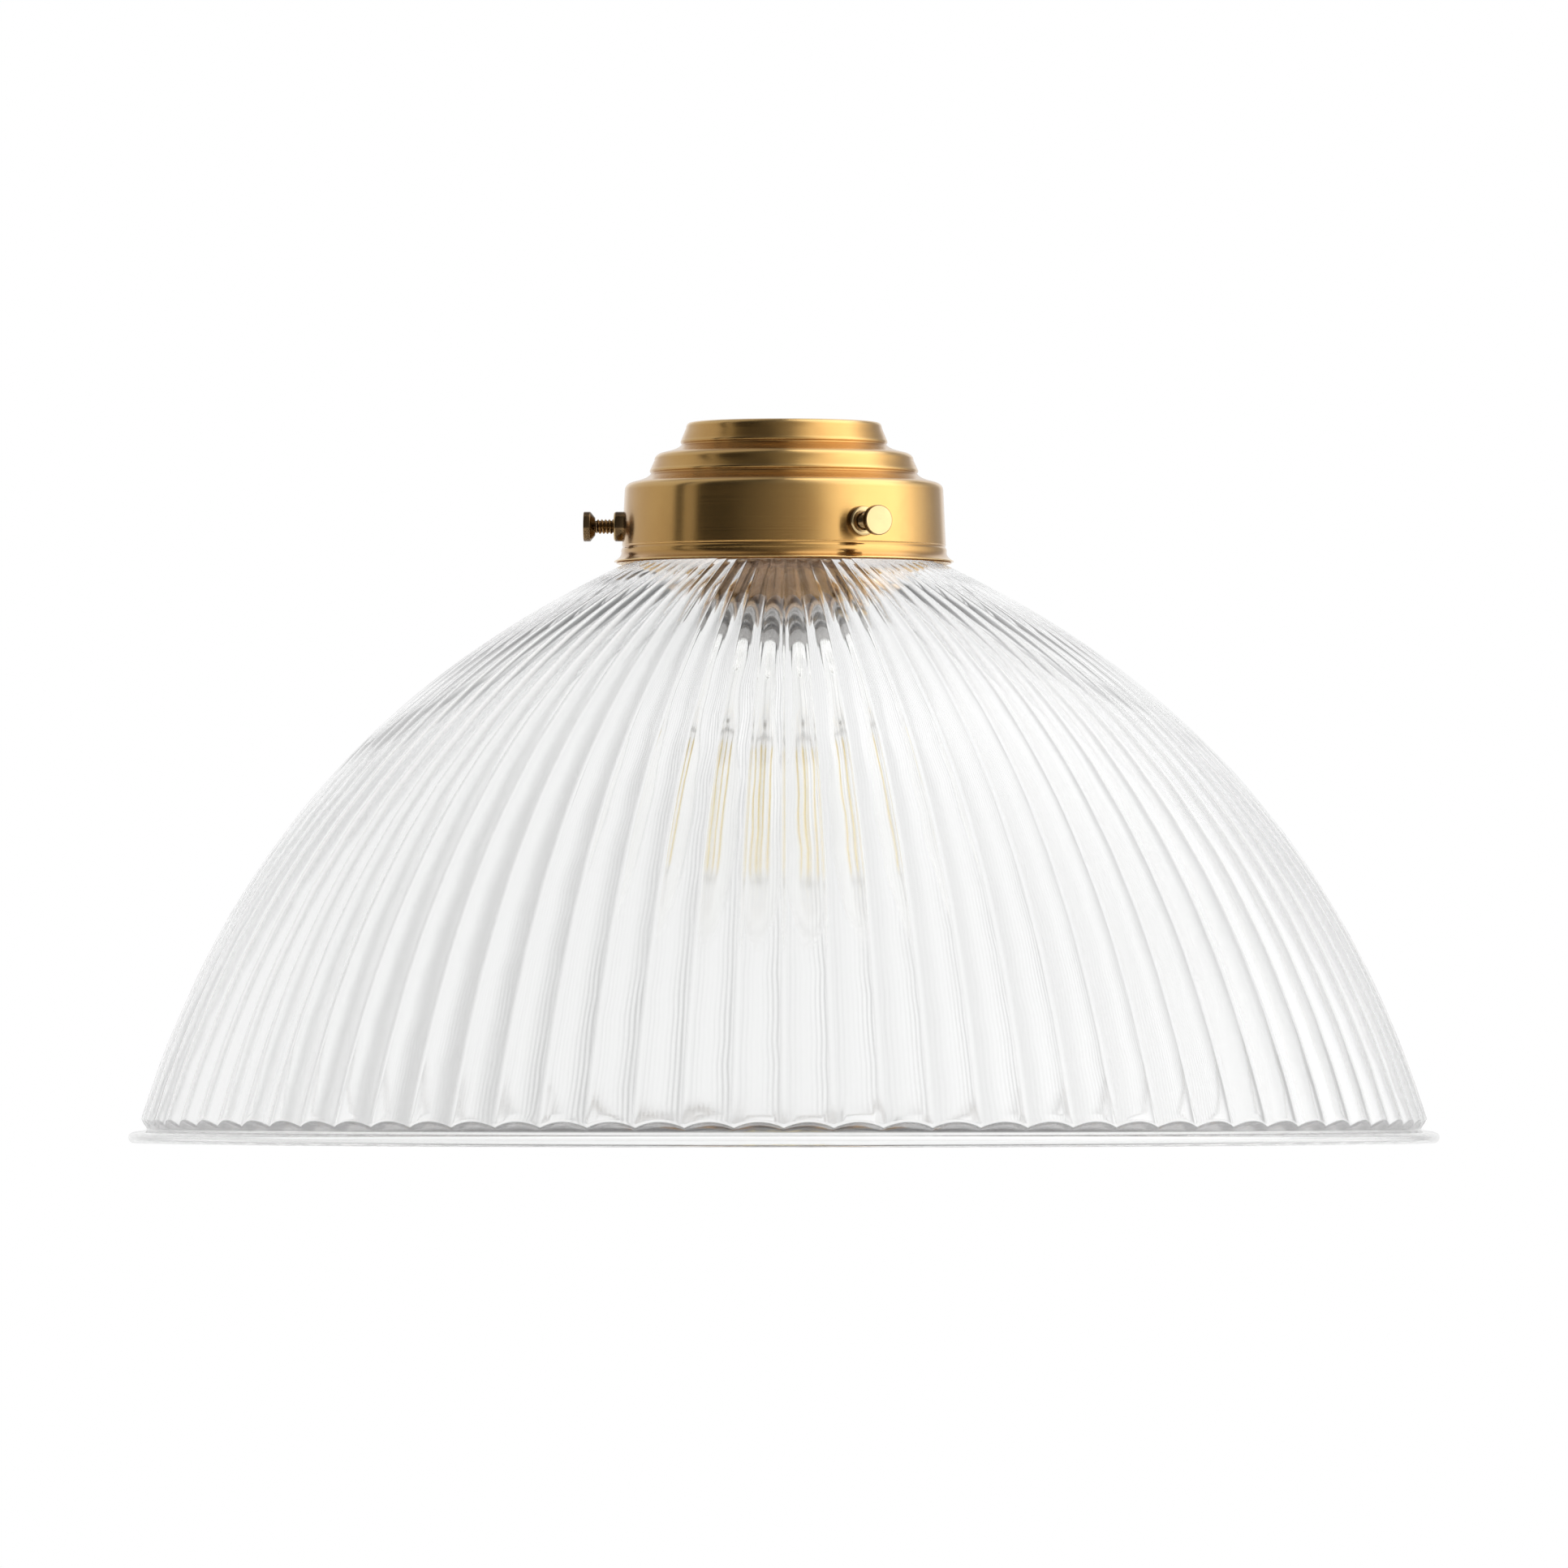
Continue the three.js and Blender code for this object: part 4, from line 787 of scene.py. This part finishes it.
def makeSocketShell():
    s = socket
    top, inside = s["top"], s["top"] + s["wall"]
    shoulder = s["crest"] + s["wall"] - e27["depth"]
    piece = threadedPiece("socketShell", [
        [(s["hole"], top), (shoulder, top)], helixRows(s["crest"] + s["wall"], inside, s["foot"]),
        helixRows(s["crest"], s["foot"], inside), [(s["hole"], inside)]], "contactBrass")
    settle(piece, "root", "contact_brass", "socket_shell")


makeHolderCap()
makeHolderSkirt()
makeSocketShell()
print("lampholder made")

# Bulb
bulb = {
    "capTop": 37.55, "threadFoot": 56.05, "capFoot": 60.05, "crest": 13.2, "inner": 11.55, "collar": 13.5,
    "insulatorHole": 2.2, "insulatorFlat": 5.2, "insulatorTop": 35.15, "insulatorSide": (11.25, 37.5),
    "insulatorFoot": 38.35,
    "contactTop": 33.95, "contactRadius": 4.5, "contactFoot": 34.85, "pinRadius": 1.9, "pinFoot": 38.15,
    "neck": 11.25, "neckTop": 57.05, "neckFoot": 67.05, "radius": 30.0, "centre": 109.95, "wall": 0.6,
    "stem": 4.0, "stemWall": 1.1, "rod": 1.4, "flare": 10.05, "flareFoot": 65.05, "stemFoot": 81.75,
}
filaments = {
    "count": 4, "top": 85.05, "foot": 122.05, "circle": 10.4, "firstAngle": 12,
    "radius": 1.0, "tab": 0.45, "tabLength": 1.6, "upperRing": 83.15, "lowerRing": 122.35,
    "ringHeight": 1.6, "ringInner": 1.7, "ringOuter": 3.0, "armRadius": 0.4, "armIn": 0.5,
    "rodFoot": 123.95,
    "lumpSize": 0.02, "lumpRate": 2.1, "lumpMiddle": 103.5, "lumpReach": 16,
}


def makeBulbCap():
    b = bulb
    top, middle, foot, collar = b["capTop"], b["threadFoot"], b["capFoot"], b["collar"]
    root = b["crest"] - e27["depth"]
    piece = threadedPiece("bulbCap", [
        [(b["inner"], top), (root - 0.25, top), (root, top + 0.25)],
        helixRows(b["crest"], top + 0.6, middle - 0.6),
        [(root, middle), (root + 0.9, middle + 0.2), (collar, middle + 0.9), (collar, foot - 0.5),
         (collar - 0.3, foot), (b["inner"], foot)]], "capMetal")
    settle(piece, "bulb", "bulb_cap_metal", "bulb_cap")


def makeInsulatorAndContact():
    b = bulb
    hole, top, foot = b["insulatorHole"], b["insulatorTop"], b["insulatorFoot"]
    side, sideTop = b["insulatorSide"]
    line = roundedLine([(hole, top, 0.2), (b["insulatorFlat"], top, 0.8), (side, sideTop, 0.5),
                        (side, foot, 0.1), (hole, foot, 0.1)], steps=5)
    piece = turnedPiece("bulbInsulator", line, 64, "blackGlass")
    settle(piece, "bulb", "black_glass", "bulb_insulator")
    top, radius, foot, pin = b["contactTop"], b["contactRadius"], b["contactFoot"], b["pinRadius"]
    line = roundedLine([(0, top, 0), (radius - 1.1, top + 0.03, 1.6), (radius, foot - 0.15, 0.3),
                        (radius - 0.1, foot, 0.05), (pin, foot, 0.1), (pin, b["pinFoot"], 0.2),
                        (0, b["pinFoot"], 0)], closed=False, steps=5)
    piece = turnedPiece("bulbContact", line, 48, "capMetal", closed=False, reach=0.3)
    settle(piece, "bulb_centre", "bulb_cap_metal", "bulb_contact")


def envelopeLine(less):
    # The bulb's outline, with every radius less by the wall for the inside.
    b = bulb
    drop, radius = b["centre"] - b["neckFoot"], b["radius"] - less
    sideways = (b["neck"] - less, b["neckFoot"] + 0.45 * drop), (radius, b["centre"] - 0.5 * drop)
    line = drawnLine((b["neck"] - less, b["neckTop"]), [((b["neck"] - less, b["neckFoot"]),)])
    line = np.concatenate([line, drawnLine(line[-1], [(*sideways, (radius, b["centre"]))], 22)[1:]])
    angle = np.linspace(0, np.pi / 2, 25)[1:]
    globe = np.stack([radius * np.cos(angle), b["centre"] + radius * np.sin(angle)], axis=1)
    globe[-1, 0] = 0
    return np.concatenate([line, globe])


def makeBulbGlass():
    b = bulb
    line = np.concatenate([envelopeLine(0), envelopeLine(b["wall"])[::-1]])
    line = np.concatenate([line[:1] + [0, 0.3], line[1:-1], line[-1:] + [0, 0.3],
                           [(b["neck"] - b["wall"] / 2, b["neckTop"])]])
    piece = newPiece("bulbEnvelope", hung(turnedGrid(line, 96)), "bulbGlass", sharpAngle=60)
    settle(piece, "bulb", "bulb_glass", "bulb_envelope")
    stem, flare, rod, bore = b["stem"], b["flare"], b["rod"], b["stem"] - b["stemWall"]
    top, flareFoot, stemFoot, rodFoot = b["neckTop"], b["flareFoot"], b["stemFoot"], filaments["rodFoot"]
    outside = drawnLine((flare, top + b["stemWall"]), [
        ((stem, top + b["stemWall"]), (stem, flareFoot)), ((stem, stemFoot - 3.4),),
        ((stem, stemFoot - 0.8), (rod, stemFoot)), ((rod, rodFoot - 0.5),),
        ((rod, rodFoot), (0, rodFoot))], 7)
    inside = drawnLine((0, flareFoot + stem), [
        ((bore, flareFoot + stem), (bore, flareFoot)), ((bore, top), (flare, top))], 7)
    grid = hung(turnedGrid(np.concatenate([outside, inside]), 48))
    piece = newPiece("bulbStem", grid, "bulbGlass", sharpAngle=60)
    settle(piece, "bulb", "bulb_glass", "bulb_stem")
    print("bulb glass:", len(line), "rows")


def wireGrid(path, radius, columns=14):
    # A round wire along a path in one plane with the Z axis: each ring is square to the path, and the
    # ends are drawn in over two more rings. level is the sideways direction, square to that plane.
    along = np.gradient(path, axis=0)
    along /= np.linalg.norm(along, axis=1, keepdims=True)
    level = np.array([-path[-1, 1], path[-1, 0], 0])
    side = np.cross(along, level)
    side /= np.linalg.norm(side, axis=1, keepdims=True)
    other = np.cross(along, side)
    angle = 2 * np.pi * np.arange(columns) / columns
    ring = side[:, None] * np.cos(angle)[:, None] + other[:, None] * np.sin(angle)[:, None]
    size = np.concatenate([[0, 0.7], np.ones(len(path)), [0.7, 0]]) * radius
    out = np.array([[0.4], [0.3]])
    place = np.concatenate([path[:1] - along[:1] * radius * out, path,
                            path[-1:] + along[-1:] * radius * out[::-1]])
    ring = np.pad(ring, ((2, 2), (0, 0), (0, 0)), "edge")
    return place[:, None] + ring * size[:, None, None]


def filamentAngle(number):
    return math.radians(filaments["firstAngle"] + 360 * number / filaments["count"])


def makeFrame(name, node, top, armDepth):
    # A ring on the glass rod and one wire arm out to each filament, joined into one piece.
    f = filaments
    foot = top + f["ringHeight"]
    ring = roundedLine([(f["ringInner"], top, 0.2), (f["ringOuter"], top, 0.4), (f["ringOuter"], foot, 0.4),
                        (f["ringInner"], foot, 0.2)])
    piece = turnedPiece(name, ring, 40, "platedSteel", reach=0.3)
    parts = [piece]
    for number in range(f["count"]):
        angle = filamentAngle(number)
        out = np.linspace(f["ringOuter"] - 0.6, f["circle"] + f["radius"] - 0.3, 14)
        path = np.stack([out * math.sin(angle), -out * math.cos(angle), 0 * out - armDepth], axis=1)
        parts.append(newPiece("arm", wireGrid(path, f["armRadius"]), "platedSteel",
                              closed=False, marks={"bend": np.zeros((1, 1))}))
    with bpy.context.temp_override(active_object=piece, selected_editable_objects=parts):
        bpy.ops.object.join()
    settle(piece, "bulb", "plated_steel", node)


def makeFilament(number):
    # A phosphor-coated rod with rounded ends and a thin steel tab at each end. Its radius swells and
    # shrinks by a sine of the height, as the coating does.
    f = filaments
    top, foot, tab = f["top"], f["foot"], f["tabLength"]
    line = roundedLine([(0, top, 0), (f["tab"], top, 0.1), (f["tab"], top + tab, 0),
                        (f["radius"], top + tab, 0.45), (f["radius"], foot - tab, 0.45),
                        (f["tab"], foot - tab, 0), (f["tab"], foot, 0.1), (0, foot, 0)], closed=False)
    line = splitLong(line, 2.0, closed=False)
    grid = hung(turnedGrid(line, 20))
    angle = filamentAngle(number)
    height = grid[..., 2:]
    lumpy = np.abs(height + f["lumpMiddle"]) < f["lumpReach"]
    grid[..., :2] *= 1 + f["lumpSize"] * np.sin(f["lumpRate"] * height) * lumpy
    grid += [f["circle"] * math.sin(angle), -f["circle"] * math.cos(angle), 0]
    piece = newPiece(f"filament{number + 1}", grid, "phosphor", closed=False)
    piece.data.materials.append(finishes["platedSteel"])
    middle = np.zeros(len(piece.data.polygons) * 3)
    piece.data.polygons.foreach_get("center", middle)
    depth = -middle.reshape(-1, 3)[:, 2] / mm
    onTab = (depth < top + tab - 0.01) | (depth > foot - tab + 0.01)
    piece.data.polygons.foreach_set("material_index", onTab.astype(np.int32))
    settle(piece, "bulb", "phosphor", f"filament_{number + 1}")


makeBulbCap()
makeInsulatorAndContact()
makeBulbGlass()
makeFrame("upperFrame", "filament_frame_upper", filaments["upperRing"],
          filaments["upperRing"] + filaments["ringHeight"] - filaments["armIn"])
makeFrame("lowerFrame", "filament_frame_lower", filaments["lowerRing"],
          filaments["lowerRing"] + filaments["armIn"])
for number in range(filaments["count"]):
    makeFilament(number)
print("bulb made")

# Nodes whose shape stays: each gets a made finish.
keptNodes = {
    "contactBrass": ("bush_locknut", "centre_contact", "live_terminal", "neutral_terminal", "earth_terminal"),
    "platedSteel": ("live_screw", "neutral_screw", "earth_screw"),
    "porcelain": ("lampholder_core",),
}
for finish, nodes in keptNodes.items():
    for node in nodes:
        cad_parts[node].data.materials.clear()
        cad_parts[node].data.materials.append(finishes[finish])
print("kept nodes finished:", sum(len(nodes) for nodes in keptNodes.values()))

# Floor, world and lamp
studio = {
    "floorDepth": 620.0,
    "floorRadius": 3000.0,
    "floorThickness": 20.0,
    "floorColour": (0.86, 0.86, 0.86),
    "floorGlow": 0.16,
    "lampPlace": (1.5, -1.9, 1.5),  # metres
    "lampAim": (0, 0, -0.1),
    "lampSize": 1.4,
    "lampPower": 26,
    "bounces": 32,  # light takes many turns inside the ribs before it comes out again
    # Between the next heights, as a share of straight up, one table or plain white fades into another.
    "overhead": (0.55, 0.7),
    "highStart": (0.38, 0.48),
    "highEnd": (0.64, 0.74),
    "below": (-0.8, -0.45),
}
# How bright the studio is by compass direction: degrees from the camera's side, minus to the left, then
# the level. The first two tables are what surfaces mirror, at their own height and from overhead. The
# other two are where glass bends light from, at its own height and from higher up.
mirrorLevels = [
    (-180, 0.95), (-160, 0.95), (-152, 0.76), (-103, 0.7), (-88, 0.62), (-84, 0.11), (-79, 0.11),
    (-76, 0.48), (-68, 0.4), (-65, 0.05), (-42, 0.04), (-32, 0.08), (-20, 0.14), (-8, 0.22), (6, 0.34),
    (15, 0.48), (24, 0.76), (33, 1.3), (44, 1.9), (58, 2.4), (88, 2.6), (98, 2.1), (112, 1.3),
    (127, 0.75), (137, 0.52), (152, 0.52), (160, 0.95), (180, 0.95)]
overLevels = [
    (-180, 0.3), (-150, 0.45), (-120, 0.7), (-90, 0.55), (-60, 0.1), (-20, 0.12), (10, 0.4), (40, 1.5),
    (85, 2.3), (130, 2.3), (160, 1.1), (180, 0.3)]
glassLevels = [
    (-180, 0.95), (-172, 0.93), (-166, 0.5), (-157, 0.48), (-151, 0.92), (-100, 0.94), (60, 0.94),
    (110, 0.96), (158, 0.95), (164, 0.76), (170, 0.94), (180, 0.95)]
highLevels = [(-180, 0.1), (-162, 0.1), (-150, 0.92), (150, 0.92), (162, 0.1), (180, 0.1)]


def makeFloor():
    # Pale matt floor. For rays straight from the camera or through glass and metal it adds a little of
    # its own light, so that it reads as white and still keeps the shadow.
    depth, radius = studio["floorDepth"], studio["floorRadius"]
    foot = depth + studio["floorThickness"]
    line = roundedLine([(0, depth, 0), (radius, depth, 5), (radius, foot, 5), (0, foot, 0)], closed=False)
    finishes["paleFloor"], tree, shader = newFinish("paleFloor")
    place = objectPlace(tree)
    share = spreadTo(tree, noise(tree, place, 3, 4), 0, 1)
    low = [0.985 * value for value in studio["floorColour"]]
    path = addNode(tree, "ShaderNodeLightPath").outputs
    seen = combine(tree, "MAXIMUM", path["Is Camera Ray"], path["Is Transmission Ray"])
    seen = combine(tree, "MAXIMUM", seen, path["Is Glossy Ray"])
    setInputs(tree, shader, {
        "Base Color": mixColour(tree, share, studio["floorColour"], low), "Roughness": 0.8,
        "Emission Color": (1, 1, 1, 1),
        "Emission Strength": combine(tree, "MULTIPLY", seen, studio["floorGlow"])})
    bumpTo(tree, shader, noise(tree, place, 400, 2), 0.05, 0.0002)
    newPiece("floor", hung(turnedGrid(line, 96)), "paleFloor", closed=False)


def levelRamp(tree, share, levels):
    # A ring of grey stops by compass direction, as a background of that brightness.
    ramp = addNode(tree, "ShaderNodeValToRGB", {0: share})
    brightest = max(level for _, level in levels)
    stops = ramp.color_ramp.elements
    while len(stops) < len(levels):
        stops.new(0.5)
    for stop, (degrees, _) in zip(stops, levels):
        stop.position = (degrees + 180) / 360
    for stop, (_, level) in zip(stops, levels):
        stop.color = (*[level / brightest] * 3, 1)
    return background(tree, ramp.outputs["Color"], brightest)


def background(tree, colour, strength=1.0):
    inputs = {"Color": colour, "Strength": strength}
    return addNode(tree, "ShaderNodeBackground", inputs).outputs[0]


def makeWorld():
    # White for the camera. For all other rays the light goes round the object in soft panels, from the
    # tables above by the ray's compass direction, and fades into plain white far below.
    world = bpy.data.worlds.new("studio")
    bpy.context.scene.world = world
    world.use_nodes = True
    tree = world.node_tree
    tree.nodes.clear()
    ray = addNode(tree, "ShaderNodeTexCoord").outputs["Generated"]
    part = addNode(tree, "ShaderNodeSeparateXYZ", {0: ray}).outputs
    compass = combine(tree, "ARCTAN2", part["X"], combine(tree, "MULTIPLY", part["Y"], -1.0))
    share = spreadTo(tree, compass, 0, 1, -math.pi, math.pi)
    path = addNode(tree, "ShaderNodeLightPath").outputs
    plain = background(tree, (0.9, 0.9, 0.9, 1))
    mirror, over, glass, high = (
        levelRamp(tree, share, levels) for levels in (mirrorLevels, overLevels, glassLevels, highLevels))
    mirrored = mixShaders(tree, spreadTo(tree, part["Z"], 0, 1, *studio["overhead"]), mirror, over)
    start = spreadTo(tree, part["Z"], 0, 1, *studio["highStart"])
    end = spreadTo(tree, part["Z"], 1, 0, *studio["highEnd"])
    bent = mixShaders(tree, combine(tree, "MINIMUM", start, end), glass, high)
    around = mixShaders(tree, path["Is Transmission Ray"], mirrored, bent)
    below = spreadTo(tree, part["Z"], 1, 0, *studio["below"])
    around = mixShaders(tree, below, around, plain)
    seen = mixShaders(tree, path["Is Camera Ray"], around, background(tree, (1, 1, 1, 1)))
    output = addNode(tree, "ShaderNodeOutputWorld")
    tree.links.new(seen, output.inputs["Surface"])


def makeLamp():
    lamp = bpy.data.objects.new("softLamp", bpy.data.lights.new("softLamp", "AREA"))
    bpy.context.scene.collection.objects.link(lamp)
    lamp.data.size = studio["lampSize"]
    lamp.data.energy = studio["lampPower"]
    lamp.visible_glossy = False
    lamp.visible_transmission = False
    lamp.location = studio["lampPlace"]
    towards = Vector(studio["lampAim"]) - lamp.location
    lamp.rotation_euler = towards.to_track_quat("-Z", "Y").to_euler()


makeFloor()
makeWorld()
makeLamp()
for kind in ("max_bounces", "glossy_bounces", "transmission_bounces"):
    setattr(bpy.context.scene.cycles, kind, studio["bounces"])
bpy.context.scene.view_settings.view_transform = "Standard"
print("studio lit")
